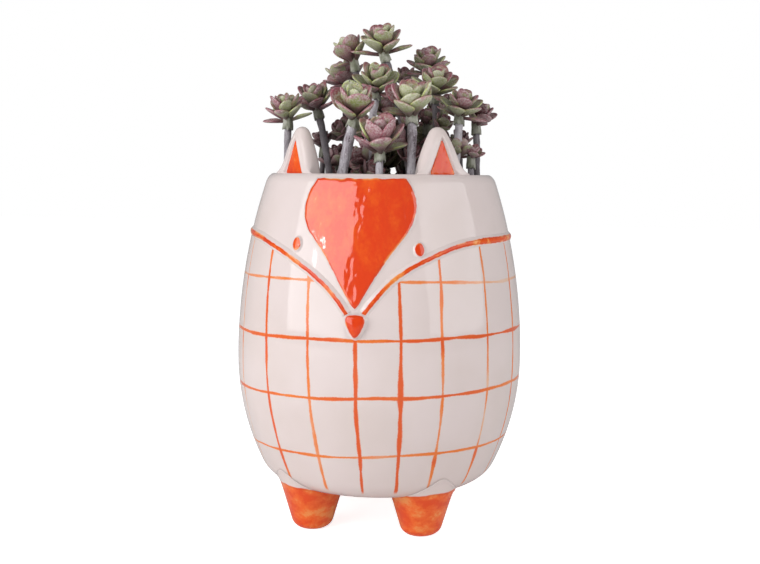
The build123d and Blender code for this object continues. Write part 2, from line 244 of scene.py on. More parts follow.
class Shader:
    """A material's node tree, written as sums."""

    def __init__(self, name):
        self.material = bpy.data.materials.new(name)
        self.material.use_nodes = True
        self.nodes = self.material.node_tree.nodes
        self.links = self.material.node_tree.links
        self.surface = self.nodes["Principled BSDF"]
        self.place = self.nodes.new("ShaderNodeTexCoord").outputs["Object"]

    def put(self, socket, value):
        """Links a value into a socket, or writes it there."""
        if isinstance(value, bpy.types.NodeSocket):
            self.links.new(value, socket)
        else:
            socket.default_value = value

    def sum(self, operation, *values):
        node = self.nodes.new("ShaderNodeMath")
        node.operation = operation
        for socket, value in zip(node.inputs, values):
            self.put(socket, value)
        return node.outputs[0]

    def times(self, first, *others):
        for other in others:
            first = self.sum("MULTIPLY", first, other)
        return first

    def plus(self, first, *others):
        for other in others:
            first = self.sum("ADD", first, other)
        return first

    def minus(self, first, second):
        return self.sum("SUBTRACT", first, second)

    def step(self, value, low, high, to_low=0.0, to_high=1.0, shape="SMOOTHSTEP"):
        node = self.nodes.new("ShaderNodeMapRange")
        node.interpolation_type = shape
        for key, entry in (("Value", value), ("From Min", low), ("From Max", high),
                           ("To Min", to_low), ("To Max", to_high)):
            self.put(node.inputs[key], entry)
        return node.outputs[0]

    def noise(self, scale, detail, stretch=None, rough=0.5):
        node = self.nodes.new("ShaderNodeTexNoise")
        place = self.place
        if stretch:
            mapping = self.nodes.new("ShaderNodeMapping")
            mapping.inputs["Scale"].default_value = stretch
            self.put(mapping.inputs["Vector"], place)
            place = mapping.outputs[0]
        self.put(node.inputs["Vector"], place)
        node.inputs["Scale"].default_value = scale
        node.inputs["Detail"].default_value = detail
        node.inputs["Roughness"].default_value = rough
        return node.outputs[0]

    def drift(self, scale, detail, reach, stretch=None, rough=0.5):
        """A noise about zero, times a reach."""
        return self.times(self.minus(self.noise(scale, detail, stretch, rough), 0.5), reach)

    def mix(self, share, first, second):
        node = self.nodes.new("ShaderNodeMix")
        node.data_type = "RGBA"
        self.put(node.inputs["Factor"], share)
        for socket, value in ((node.inputs[6], first), (node.inputs[7], second)):
            self.put(socket, value if isinstance(value, bpy.types.NodeSocket) else (*value, 1))
        return node.outputs[2]

    def attribute(self, name):
        node = self.nodes.new("ShaderNodeAttribute")
        node.attribute_name = name
        return node.outputs["Fac"]

    def axes(self):
        node = self.nodes.new("ShaderNodeSeparateXYZ")
        self.put(node.inputs[0], self.place)
        return node.outputs

    def off_axis(self, x, y):
        """The distance from the pot's axis."""
        return self.sum("SQRT", self.plus(self.times(x, x), self.times(y, y)))

    def channels(self, colour):
        node = self.nodes.new("ShaderNodeSeparateColor")
        self.put(node.inputs[0], colour)
        return node.outputs

    def ramp(self, value, stops, shape="LINEAR"):
        node = self.nodes.new("ShaderNodeValToRGB")
        node.color_ramp.interpolation = shape
        entries = node.color_ramp.elements
        while len(entries) < len(stops):
            entries.new(1.0)
        for entry, (at, colour) in zip(entries, stops):
            entry.position = at
            entry.color = (*colour, 1)
        self.put(node.inputs[0], value)
        return node.outputs[0]

    def bump(self, height, strength, distance):
        node = self.nodes.new("ShaderNodeBump")
        node.inputs["Strength"].default_value = strength
        node.inputs["Distance"].default_value = distance
        self.put(node.inputs["Height"], height)
        self.put(self.surface.inputs["Normal"], node.outputs[0])

    def finish(self, colour, roughness, **sockets):
        self.put(self.surface.inputs["Base Color"], colour)
        self.put(self.surface.inputs["Roughness"], roughness)
        for key, value in sockets.items():
            self.surface.inputs[key.replace("_", " ")].default_value = value
        return self.material


# Glaze colours, linear
GLAZE_WHITE = (0.665, 0.575, 0.56)
GLAZE_CREAM = (0.63, 0.54, 0.515)
ORANGE_DEEP = (0.66, 0.040, 0.0)
ORANGE_MID = (0.76, 0.10, 0.003)
ORANGE_THIN = (0.80, 0.32, 0.08)
ORANGE_DARK = (0.48, 0.036, 0.0)
STROKE_PALE = (0.74, 0.40, 0.20)
STROKE_MID = (0.74, 0.175, 0.016)
STROKE_DEEP = (0.66, 0.078, 0.001)

# Finish of the dipped glaze: its gloss, and how deep its waves are in metres
GLAZE_ROUGHNESS = 0.06
GLAZE_IOR = 1.40
GLAZE_WAVE = 0.0012


def glaze_base(shader):
    """The white glaze: warm, very slightly uneven, with rare specks."""
    cloud = shader.noise(28.0, 3.0)
    base = shader.mix(shader.step(cloud, 0.35, 0.7), GLAZE_WHITE, GLAZE_CREAM)
    speck = shader.noise(900.0, 1.0)
    return shader.mix(shader.step(speck, 0.80, 0.83, 0.0, 0.3), base, (0.45, 0.34, 0.28))


def glaze_waves(shader):
    """The soft waves of a dipped glaze."""
    return shader.plus(shader.noise(38.0, 1.0), shader.times(shader.noise(260.0, 2.0), 0.04))


def dipped(shader, colour):
    """The finish of a dipped glaze over a colour."""
    shader.bump(glaze_waves(shader), 0.22, GLAZE_WAVE)
    return shader.finish(colour, GLAZE_ROUGHNESS, IOR=GLAZE_IOR, Coat_Weight=0.0)


def brush_load(shader, tone, grain_scale):
    """How thick the colour lies: broad tones with a little fine grain."""
    return shader.plus(shader.times(tone, 0.85), shader.times(shader.noise(grain_scale, 3.0), 0.15))


# Painted grid. Upright strokes lie 20 degrees apart from -180 degrees to 180, with 0 at the nose. Each has a
# shift of its top and of its foot in degrees, a width and a load of paint
UPRIGHT_STEP = 20.0
UPRIGHT_REACH = 10.0
UPRIGHTS = (
    (1.0, -1.0, 0.5, 0.5), (2.0, 0.0, 0.6, 0.6), (-2.0, 1.0, 0.4, 0.4), (0.0, 2.0, 0.6, 0.7),
    (1.5, 1.0, 0.5, 0.5), (2.0, 1.0, 0.3, 0.35), (1.3, 3.0, 0.3, 0.3), (0.3, 5.2, 0.65, 0.65),
    (1.2, 5.4, 0.75, 0.55), (0.3, 3.0, 0.8, 0.95), (-2.9, -1.4, 0.85, 0.9), (-6.4, -6.2, 0.55, 0.5),
    (-5.4, -5.0, 0.5, 0.42), (-4.6, -6.6, 0.5, 0.5), (-2.0, 1.0, 0.5, 0.5), (1.0, 2.0, 0.6, 0.6),
    (-1.0, 0.0, 0.4, 0.5), (2.0, -1.0, 0.6, 0.6), (1.0, -1.0, 0.5, 0.5),
)
# Level strokes from the lowest up: the height at the nose, then the rise and the curl at 70 degrees to the
# right, in metres, then a width and a load of paint. Round the back they swing to their height at the nose
# again
LEVEL_REACH = 0.01
LEVEL_SWING = 1 / math.sin(math.radians(70))
LEVELS = (
    (0.0422, 0.0019, -0.0006, 0.55, 0.55),
    (0.0689, 0.0020, 0.0, 0.65, 0.68),
    (0.0941, 0.0010, -0.0003, 0.75, 0.68),
    (0.1197, -0.0001, -0.0020, 0.5, 0.35),
)
STROKE_HALF_WIDTH = 0.00072
STROKE_FRAY = 0.0005


def stroke(shader, distance, width, load, along):
    """The cover and load of one family of strokes, from its distance in metres, its width and its load."""
    swell = shader.step(shader.noise(75.0, 2.0), 0.3, 0.7, 0.55, 1.4, "LINEAR")
    edge = shader.times(shader.plus(width, 0.45), swell, STROKE_HALF_WIDTH)
    near = shader.plus(shader.sum("ABSOLUTE", distance), shader.drift(1500.0, 2.0, STROKE_FRAY))
    cover = shader.step(near, shader.times(edge, 0.6), shader.times(edge, 1.3), 1.0, 0.0)
    return cover, shader.plus(load, shader.drift(60.0, 4.0, 1.5, along, 0.65))


# The brow's curve is kept between two heights, in millimetres, and meets itself at the back
BROW_CURVE_LOW = 100
BROW_CURVE_SPAN = 40
BROW_BACK_HEIGHT = 136.8


def brow_over(shader, turn):
    """The height of the brow at a turn, as a curve."""
    node = shader.nodes.new("ShaderNodeFloatCurve")
    curve = node.mapping.curves[0]
    stops = sorted(((angle + 180) % 360 - 180, height) for angle, height in BROW_LINE if angle != 180.0)
    stops = [(-180.0, BROW_BACK_HEIGHT)] + stops + [(180.0, BROW_BACK_HEIGHT)]
    while len(curve.points) < len(stops):
        curve.points.new(0.5, 0.5)
    for point, (angle, height) in zip(curve.points, stops):
        point.location = ((angle + 180) / 360, (height - BROW_CURVE_LOW) / BROW_CURVE_SPAN)
        point.handle_type = "VECTOR"
    node.mapping.update()
    shader.put(node.inputs["Value"], shader.sum("DIVIDE", shader.plus(turn, 180.0), 360.0))
    return shader.plus(shader.times(node.outputs[0], BROW_CURVE_SPAN / 1000), BROW_CURVE_LOW / 1000)


def signed(value, reach):
    """A signed value as a share of a colour channel."""
    return 0.5 + value / (2 * reach)


def uprights(shader, turn, z, level):
    """Cover and load of the upright strokes, heavier where the brush was set down under each level stroke."""
    share = shader.sum("DIVIDE", shader.plus(turn, 190.0), 380.0)
    rows = [(i / len(UPRIGHTS), row) for i, row in enumerate(UPRIGHTS)]
    forms = [(at, (signed(row[0], UPRIGHT_REACH), signed(row[1], UPRIGHT_REACH), row[2])) for at, row in rows]
    form = shader.channels(shader.ramp(share, forms, "CONSTANT"))
    load = shader.ramp(share, [(at, (row[3],) * 3) for at, row in rows], "CONSTANT")
    top, foot = (shader.step(form[i], 0.0, 1.0, -UPRIGHT_REACH, UPRIGHT_REACH, "LINEAR") for i in (0, 1))
    fall = shader.step(z, 0.125, 0.03, 0.0, 1.0, "LINEAR")
    shift = shader.plus(top, shader.times(shader.minus(foot, top), fall))
    nearest = shader.times(shader.sum("ROUND", shader.sum("DIVIDE", turn, UPRIGHT_STEP)), UPRIGHT_STEP)
    off = shader.minus(shader.minus(shader.plus(turn, shader.drift(24.0, 2.0, 2.4)), nearest), shift)
    distance = shader.times(off, math.radians(BELLY_RADIUS * 0.94))
    under = shader.minus(level, z)
    start = shader.times(shader.step(under, -0.0005, 0.0008), shader.step(under, 0.0105, 0.003),
                         shader.step(shader.noise(31.0, 1.0), 0.42, 0.6))
    set_down = shader.times(start, 0.35)
    width = shader.plus(form[2], set_down)
    return stroke(shader, distance, width, shader.plus(load, set_down), (1.0, 1.0, 0.3))


def levels(shader, turn, z):
    """The nearest level stroke's height, and the cover and load of the level strokes."""
    share = shader.sum("DIVIDE", z, RIM_HEIGHT)
    starts = [0.0] + [(low[0] + high[0]) / 2 / RIM_HEIGHT for low, high in zip(LEVELS, LEVELS[1:])]
    rows = list(zip(starts, LEVELS))
    forms = [(at, (row[0] * 5, signed(row[1], LEVEL_REACH), signed(row[2], LEVEL_REACH))) for at, row in rows]
    form = shader.channels(shader.ramp(share, forms, "CONSTANT"))
    ink = shader.channels(shader.ramp(share, [(at, (row[3], row[4], 0)) for at, row in rows], "CONSTANT"))
    rise, curl = (shader.step(form[i], 0.0, 1.0, -LEVEL_REACH, LEVEL_REACH, "LINEAR") for i in (1, 2))
    across = shader.times(shader.sum("SINE", shader.sum("RADIANS", turn)), LEVEL_SWING)
    line = shader.plus(shader.sum("DIVIDE", form[0], 5.0), shader.times(rise, across),
                       shader.times(curl, shader.times(across, across)), shader.drift(22.0, 2.0, 0.003))
    cover, wet = stroke(shader, shader.minus(z, line), ink[0], ink[1], (0.35, 0.35, 1.0))
    return line, cover, wet


def painted_glaze():
    """White glaze with a hand-brushed grid below the brow."""
    shader = Shader("painted_glaze")
    x, y, z = shader.axes()
    turn = shader.sum("DEGREES", shader.sum("ARCTAN2", x, shader.times(y, -1.0)))
    line, level, level_wet = levels(shader, turn, z)
    upright, upright_wet = uprights(shader, turn, z, line)
    beside_nose = shader.step(shader.sum("ABSOLUTE", turn), 9.9, 10.1)
    clear_of_nose = shader.step(z, 0.0945, 0.0955, 1.0, beside_nose)
    upright = shader.times(upright, clear_of_nose, shader.step(z, 0.0225, 0.0255))
    brow = brow_over(shader, turn)
    below = shader.step(z, shader.minus(brow, 0.0004), shader.plus(brow, 0.0004), 1.0, 0.0)
    within = shader.times(below, shader.step(shader.off_axis(x, y), BASE_RADIUS, BASE_RADIUS + 0.001))
    cover = shader.times(shader.sum("MAXIMUM", upright, level), within)
    wet = shader.sum("MAXIMUM", shader.times(upright, upright_wet), shader.times(level, level_wet))
    paint = shader.mix(shader.step(wet, 0.1, 0.45), STROKE_PALE, STROKE_MID)
    paint = shader.mix(shader.step(wet, 0.45, 0.85), paint, STROKE_DEEP)
    veil = shader.step(wet, -0.1, 0.5, 0.35, 0.96, "LINEAR")
    return dipped(shader, shader.mix(shader.times(cover, veil), glaze_base(shader), paint))


def plain_glaze():
    """White glaze with nothing painted on it."""
    shader = Shader("plain_glaze")
    return dipped(shader, glaze_base(shader))


def relief_glaze(name, streak, low, waves, ior=1.6):
    """Orange glaze brushed over a relief, whose skirt stays white.

    The piece's inset attribute is the way in from the edge of the colour.
    """
    shader = Shader(name)
    edge = shader.plus(shader.attribute("inset"), shader.drift(420.0, 3.0, 0.0008))
    load = brush_load(shader, shader.noise(75.0, 4.0, streak, 0.6), 600.0)
    colour = shader.mix(shader.step(load, low, low + 0.14), ORANGE_THIN, ORANGE_MID)
    colour = shader.mix(shader.step(load, low + 0.06, low + 0.3), colour, ORANGE_DEEP)
    pooled = shader.times(shader.step(edge, 0.0002, 0.0004), shader.step(edge, 0.0011, 0.0005), 0.45)
    colour = shader.mix(pooled, colour, ORANGE_DARK)
    patchy = shader.step(shader.noise(95.0, 2.0), 0.52, 0.6)
    dry = shader.times(shader.step(edge, 0.0012, 0.0002), patchy, 0.75)
    colour = shader.mix(dry, colour, ORANGE_THIN)
    colour = shader.mix(shader.step(edge, -0.0001, 0.0003), glaze_base(shader), colour)
    rolls = shader.times(shader.noise(130.0, 2.0, streak), 0.32 * waves)
    shader.bump(shader.plus(glaze_waves(shader), rolls), 0.45, GLAZE_WAVE)
    return shader.finish(colour, 0.07, IOR=ior)


# Where the feet's colour ends: its height at the base's edge, and its rise for each metre outside that
FOOT_COLOUR_TOP = 0.0199
FOOT_COLOUR_SLOPE = 0.2


def foot_glaze():
    """Orange glaze, paler where it ran thin, with white glaze above the colour's uneven edge."""
    shader = Shader("foot_glaze")
    x, y, z = shader.axes()
    mottle = shader.noise(95.0, 4.0, (1.0, 1.0, 1.5), 0.6)
    load = brush_load(shader, mottle, 700.0)
    colour = shader.mix(shader.step(load, 0.34, 0.48), (0.76, 0.25, 0.06), (0.76, 0.125, 0.016))
    colour = shader.mix(shader.step(load, 0.44, 0.6), colour, (0.68, 0.06, 0.004))
    out = shader.minus(shader.off_axis(x, y), BASE_RADIUS)
    edge = shader.plus(FOOT_COLOUR_TOP, shader.times(out, FOOT_COLOUR_SLOPE), shader.drift(90.0, 2.0, 0.003))
    above = shader.minus(z, edge)
    colour = shader.mix(shader.step(above, -0.0012, -0.0004, 0.0, 0.35), colour, ORANGE_DARK)
    colour = shader.mix(shader.step(above, -0.0002, 0.0004), colour, glaze_base(shader))
    shader.bump(shader.plus(glaze_waves(shader), shader.times(mottle, 0.3)), 0.3, GLAZE_WAVE)
    return shader.finish(colour, 0.18, IOR=1.45)


# How far painted shade takes a rosette's colours to the dark of the bunch's middle, where it is deepest
DEEP_SHADE = 0.72


def leaf_skin():
    """Powdery succulent leaf: sage green with a mauve blush, a lime or dark red rim, and painted shade at its
    root.

    A leaf's upper face is redder, and painted shade darkens rosettes deep in the bunch.
    """
    shader = Shader("leaf_skin")
    blush, tone, deep = (shader.attribute(key) for key in ("blush", "tone", "deep"))
    across, along, inner = (shader.attribute(key) for key in ("across", "along", "inner"))
    cloud = shader.noise(240.0, 3.0)
    middle = shader.step(shader.sum("ABSOLUTE", shader.minus(along, 0.62)), 0.0, 0.35, 0.3, 0.0)
    turned = shader.plus(shader.times(blush, 0.8), shader.times(tone, 0.85), shader.times(cloud, 1.2))
    turned = shader.minus(turned, middle)
    green = shader.mix(tone, (0.47, 0.50, 0.28), (0.25, 0.31, 0.08))
    mauve = shader.mix(tone, (0.56, 0.34, 0.36), (0.33, 0.12, 0.155))
    body = shader.mix(shader.step(turned, 1.14, 1.5), green, mauve)
    body = shader.mix(shader.step(turned, 1.7, 2.05), body, (0.15, 0.02, 0.035))
    inside = shader.mix(shader.step(turned, 1.0, 1.3), (0.24, 0.27, 0.075), (0.26, 0.055, 0.04))
    body = shader.mix(shader.times(shader.step(inner, 0.15, 0.6), 0.55), body, inside)
    powder = shader.noise(1100.0, 3.0)
    bloom = shader.times(shader.step(powder, 0.34, 0.66), shader.step(along, 0.25, 0.85, 0.15, 0.55))
    body = shader.mix(bloom, body, (0.72, 0.68, 0.65))
    rim_colour = shader.mix(shader.step(turned, 1.0, 1.25), (0.42, 0.50, 0.09), (0.24, 0.028, 0.055))
    body = shader.mix(shader.times(shader.step(across, 0.86, 1.0), 0.62), body, rim_colour)
    tip = shader.times(shader.step(along, 0.86, 1.0), shader.step(turned, 0.9, 1.15), 0.7)
    body = shader.mix(tip, body, (0.24, 0.03, 0.06))
    # Painted shade at the leaf's root, hidden inside the rosette.
    body = shader.mix(shader.step(along, 0.1, 0.62, 0.85, 0.0), body, (0.07, 0.045, 0.035))
    # Painted shade: rosettes deep in the bunch go darker.
    body = shader.mix(shader.times(deep, DEEP_SHADE), body, (0.055, 0.022, 0.024))
    shader.bump(shader.plus(powder, shader.times(cloud, 1.5)), 0.3, 0.0003)
    return shader.finish(body, 0.5, Sheen_Weight=0.1, Sheen_Roughness=0.4)


def collar_skin():
    """The pale green sleeve that holds a rosette on its stem."""
    shader = Shader("collar_skin")
    grain = shader.noise(500.0, 4.0, (1.0, 1.0, 0.35))
    colour = shader.mix(shader.step(grain, 0.35, 0.7), (0.17, 0.18, 0.12), (0.42, 0.42, 0.36))
    # Painted shade: collars deep in the bunch go darker.
    colour = shader.mix(shader.times(shader.attribute("deep"), DEEP_SHADE), colour, (0.05, 0.045, 0.035))
    shader.bump(grain, 0.4, 0.0003)
    return shader.finish(colour, 0.7, Sheen_Weight=0.25)


def bark_skin():
    """Grey moulded bark: long fibres, dark hollows, pale frost, and painted shade on stems further back."""
    shader = Shader("bark_skin")
    fibre = shader.noise(620.0, 5.0, (1.0, 1.0, 0.2), 0.7)
    patch = shader.noise(110.0, 3.0)
    load = shader.plus(shader.times(fibre, 0.7), shader.times(patch, 0.45))
    colour = shader.ramp(load, [(0.40, (0.10, 0.07, 0.085)), (0.49, (0.29, 0.25, 0.28)),
                                (0.59, (0.45, 0.42, 0.46)), (0.74, (0.66, 0.63, 0.66))])
    frost = shader.step(shader.noise(1300.0, 2.0), 0.58, 0.68, 0.0, 0.6)
    colour = shader.mix(frost, colour, (0.72, 0.69, 0.72))
    # Painted shade: stems further back in the bunch are darker.
    shade = shader.step(shader.attribute("age"), 0.0, 1.0, 0.0, 0.88)
    colour = shader.mix(shade, colour, (0.045, 0.032, 0.036))
    shader.bump(fibre, 0.8, 0.0007)
    return shader.finish(colour, 0.8, Sheen_Weight=0.2)


def foam_skin():
    """Dark green florist's foam, fine-celled."""
    shader = Shader("foam_skin")
    cells = shader.noise(1600.0, 3.0)
    colour = shader.mix(shader.step(cells, 0.35, 0.65), (0.02, 0.055, 0.018), (0.06, 0.12, 0.045))
    shader.bump(cells, 0.7, 0.0004)
    return shader.finish(colour, 0.95)


def gravel_skin(name, dark, pale):
    """Fine gravel: each stone has its own tone."""
    shader = Shader(name)
    tone = shader.noise(420.0, 2.0)
    grain = shader.noise(2600.0, 3.0)
    colour = shader.mix(shader.step(tone, 0.35, 0.65), dark, pale)
    colour = shader.mix(shader.step(grain, 0.45, 0.7, 0.0, 0.4), colour, (0.09, 0.08, 0.07))
    shader.bump(grain, 0.4, 0.0002)
    return shader.finish(colour, 0.75)


def lathe_rings(profile, segments):
    """Points of a closed outline (radius, height) turned round the Z axis."""
    points = []
    for radius, height in profile:
        for index in range(segments):
            turn = 2 * math.pi * index / segments
            points.append((radius * math.sin(turn), -radius * math.cos(turn), height))
    return points


def arc_points(centre, radius, start, end, count):
    """Points of an arc from one angle to another, both in degrees."""
    angles = np.radians(np.linspace(start, end, count))
    return [(centre[0] + radius * math.cos(a), centre[1] + radius * math.sin(a)) for a in angles]


def pot_profile():
    """The closed section of the shell: outside, lip, inside and floor."""
    inner_floor = BASE_HEIGHT + FLOOR
    outer = []
    for height in np.linspace(0, 1, 130):
        z = BASE_HEIGHT + (RIM_HEIGHT - LIP_DROP - BASE_HEIGHT) * (1 - math.cos(height * math.pi / 2)) ** 0.75
        outer.append((pot_radius(z), z))
    lip = []
    for turn in np.linspace(0, math.pi / 2, 16)[1:]:
        z = RIM_HEIGHT - LIP_DROP * (1 - math.sin(turn))
        lip.append((crown_radius(z) - LIP_OUTER * (1 - math.cos(turn)), z))
    inner_top = crown_radius(RIM_HEIGHT - LIP_INNER, WALL)
    lip += arc_points((inner_top + LIP_INNER, RIM_HEIGHT - LIP_INNER), LIP_INNER, 90, 180, 7)
    inner = []
    for share in np.linspace(1, 0, 70)[1:]:
        z = inner_floor + (RIM_HEIGHT - LIP_INNER - inner_floor) * (1 - math.cos(share * math.pi / 2)) ** 0.75
        inner.append((pot_radius(z, WALL, inner_floor), z))
    floor = [(r, inner_floor) for r in np.linspace(BASE_RADIUS, DRAIN_RADIUS, 12)[1:]]
    drain = [(DRAIN_RADIUS, z) for z in np.linspace(inner_floor, BASE_HEIGHT, 5)[1:]]
    under = [(r, BASE_HEIGHT) for r in np.linspace(DRAIN_RADIUS, BASE_RADIUS, 12)[1:-1]]
    return outer + lip + inner + floor + drain + under


def make_pot(material):
    segments = 256
    profile = pot_profile()
    points = lathe_rings(profile, segments)
    piece = mesh_object("glazed_pot", points, grid_faces(len(profile), segments, round_rows=True))
    return finish_piece(outward(piece), "pot", "white_glaze", material, "pot_shell")


def on_pot(across, height, standout=0.0):
    """A point on the pot's outer face, by its X and Z, standing out along the surface's normal."""
    radius = crown_radius(height)
    depth = math.sqrt(max(radius**2 - across**2, 1e-9))
    slope = (height - BELLY_HEIGHT) / CROWN_ARC
    flat = math.sqrt(1 - slope**2)
    normal = Vector((across / radius * flat, -depth / radius * flat, slope))
    return Vector((across, -depth, height)) + normal * standout


def turned_on_pot(turn, height, standout=0.0):
    """A point on the pot's outer face, by its turn from the nose in radians and its height."""
    radius = crown_radius(height)
    slope = (height - BELLY_HEIGHT) / CROWN_ARC
    flat = math.sqrt(1 - slope**2)
    out = Vector((math.sin(turn), -math.cos(turn), 0))
    return out * radius + Vector((0, 0, height)) + (out * flat + Vector((0, 0, slope))) * standout


# How deep the hidden backs of the reliefs sit in the pot
BACK_SINK = 0.0006


def relief_patch(name, outline, relief, dome, skirt, rings, place, bare=0.0):
    """A raised patch with a closed back: rings run from its middle to its outline, and on over a soft skirt.

    outline holds (across, up) points round the patch, and place(across, up, standout) puts them on the pot.
    Its edge stays bare of colour for a short way in.
    """
    outline = np.asarray(outline)
    middle = outline.mean(0)
    away = outline - middle
    size = np.linalg.norm(away, axis=1)
    points, insets = [], []

    def edge_ring(reach, height):
        """A ring outside the outline."""
        for (x, z), push in zip(outline, away / size[:, None] * reach):
            points.append(place(x + push[0], z + push[1], height))
            insets.append(-reach - bare)

    for share in (i / rings for i in range(rings + 1)):
        for (x, z), length in zip(middle + away * share, size):
            inset = (1 - share) * length
            height = relief * smooth(-skirt, skirt, inset) + dome * math.sqrt(max(1 - share**2, 0))
            points.append(place(x, z, height))
            insets.append(inset - bare)
    for step in (0.35, 0.7, 1.0):
        edge_ring(skirt * step, relief * smooth(-skirt, skirt, -skirt * step) - step * 0.00004)
    edge_ring(skirt, -BACK_SINK)
    rows, count = rings + 5, len(outline)
    faces = grid_faces(rows, count)
    last = (rows - 1) * count
    points.append(place(middle[0], middle[1], -BACK_SINK))
    insets.append(0.0)
    for index in range(count):
        faces.append((last + index, last + (index + 1) % count, len(points) - 1))
    return outward(mesh_object(name, points, faces, {"inset": insets}))


# Outline of the blaze from its tip, up its right and its left side: sideways and height, in millimetres
BLAZE_RIGHT = ((1.0, 107.7), (2.3, 109.0), (4.3, 112.6), (7.5, 118.1), (10.8, 123.7), (13.8, 128.3),
               (17.3, 133.3), (21.5, 139.6), (24.1, 145.1), (24.8, 150.5), (23.9, 155.7), (22.0, 160.0),
               (19.9, 163.0))
BLAZE_LEFT = ((1.0, 107.7), (-0.4, 108.9), (-2.4, 111.9), (-5.2, 116.4), (-9.2, 123.5), (-12.9, 129.4),
              (-18.2, 136.4), (-22.0, 141.3), (-23.9, 146.3), (-23.7, 152.0), (-22.0, 157.9), (-18.9, 162.8))

# Outline of the nose's colour round from its left top corner, from the nose's middle, in millimetres
NOSE_OUTLINE = ((-2.4, 5.0), (-3.7, 4.3), (-4.2, 2.6), (-3.7, 0.4), (-2.4, -2.3), (-1.1, -4.2), (0.4, -4.9),
                (1.9, -4.0), (3.2, -1.8), (4.3, 0.8), (4.5, 2.9), (3.8, 4.4), (2.3, 5.0), (0.0, 5.1))


def rounded_line(points, count):
    """A smooth line through points, with equal steps."""
    points = np.asarray(points, float)
    padded = np.vstack([2 * points[0] - points[1], points, 2 * points[-1] - points[-2]])
    line = []
    for a, b, c, d in zip(padded, padded[1:], padded[2:], padded[3:]):
        for t in np.linspace(0, 1, 12, endpoint=False):
            line.append(0.5 * (2 * b + (c - a) * t + (2 * a - 5 * b + 4 * c - d) * t**2
                               + (3 * b - a - 3 * c + d) * t**3))
    line.append(points[-1])
    line = np.array(line)
    reach = np.concatenate([[0], np.cumsum(np.linalg.norm(np.diff(line, axis=0), axis=1))])
    even = np.linspace(0, reach[-1], count)
    return np.column_stack([np.interp(even, reach, line[:, 0]), np.interp(even, reach, line[:, 1])])


def make_blaze(material):
    right = rounded_line(BLAZE_RIGHT, 80)
    left = rounded_line(BLAZE_LEFT, 80)
    top = []
    for share in np.linspace(0, 1, 36)[1:-1]:
        x, z = right[-1] + (left[-1] - right[-1]) * share
        top.append((x, z + 0.16 * math.sin(share * 23) + 0.12 * math.sin(share * 41 + 1)))
    outline = []
    for index, (x, z) in enumerate([*right, *top, *left[:0:-1]]):
        wave = 1 + 0.004 * math.sin(index * 0.31) + 0.003 * math.sin(index * 0.83 + 1)
        outline.append((x * wave / 1000, z / 1000))
    piece = relief_patch("orange_blaze", outline, BLAZE_RELIEF, 0.0, 0.0009, 40, on_pot)
    return finish_piece(piece, "pot", "orange_glaze", material, "forehead_blaze")


def grown_outline(outline, way):
    """An outline moved outwards from its middle."""
    outline = np.asarray(outline, float)
    away = outline - outline.mean(0)
    return outline + away / np.linalg.norm(away, axis=1)[:, None] * way


def make_nose(material):
    line = rounded_line([*NOSE_OUTLINE, NOSE_OUTLINE[0]], 85)[:-1]
    outline = grown_outline([(NOSE_OFFSET + x / 1000, NOSE_HEIGHT + z / 1000) for x, z in line], 0.0003)
    relief = 0.0013
    piece = relief_patch("orange_nose", outline, relief, NOSE_STANDOUT - relief, 0.0008, 18, on_pot, 0.0005)
    return finish_piece(piece, "pot", "orange_glaze", material, "nose")


def make_eye(side, side_name, material):
    height = EYE_HEIGHTS[side]

    def place(across, up, standout):
        return turned_on_pot(side * EYE_TURN + across / crown_radius(height), height + up, standout)

    angles = [2 * math.pi * i / 40 for i in range(40)]
    outline = [(EYE_HALF_WIDTH * math.cos(a), EYE_HALF_RISE * math.sin(a)) for a in angles]
    outline = grown_outline(outline, 0.0004)
    name, relief = "eye_" + side_name, 0.0006
    piece = relief_patch("orange_" + name, outline, relief, EYE_STANDOUT - relief, 0.0006, 12, place, 0.0004)
    return finish_piece(piece, "pot", "orange_glaze", material, name)


# Middle line of the brow from the nose's right top corner, round the back, to its left top corner: the turn
# from the nose in degrees and the height in millimetres
BROW_LINE = ((3.9, 105.6), (4.9, 107.2), (6.6, 109.8), (10.0, 114.5), (13.7, 118.9), (17.5, 122.3),
             (22.8, 125.9), (27.6, 128.4), (32.7, 130.7), (38.8, 133.0), (45.7, 134.8), (53.4, 135.7),
             (62.6, 136.1), (86.5, 136.4), (120.0, 136.6), (180.0, BROW_BACK_HEIGHT), (240.0, 137.4),
             (280.0, 138.0), (294.5, 137.6), (303.0, 136.9), (310.9, 135.9), (320.8, 133.2), (329.6, 129.9),
             (335.4, 126.9), (341.2, 123.6), (345.3, 120.6), (349.2, 117.2), (352.2, 113.9), (355.0, 110.4),
             (357.4, 106.4), (357.9, 105.4))
# What a millimetre of height counts against a degree of turn where the brow's points are spread evenly
BROW_RISE_WEIGHT = 0.85


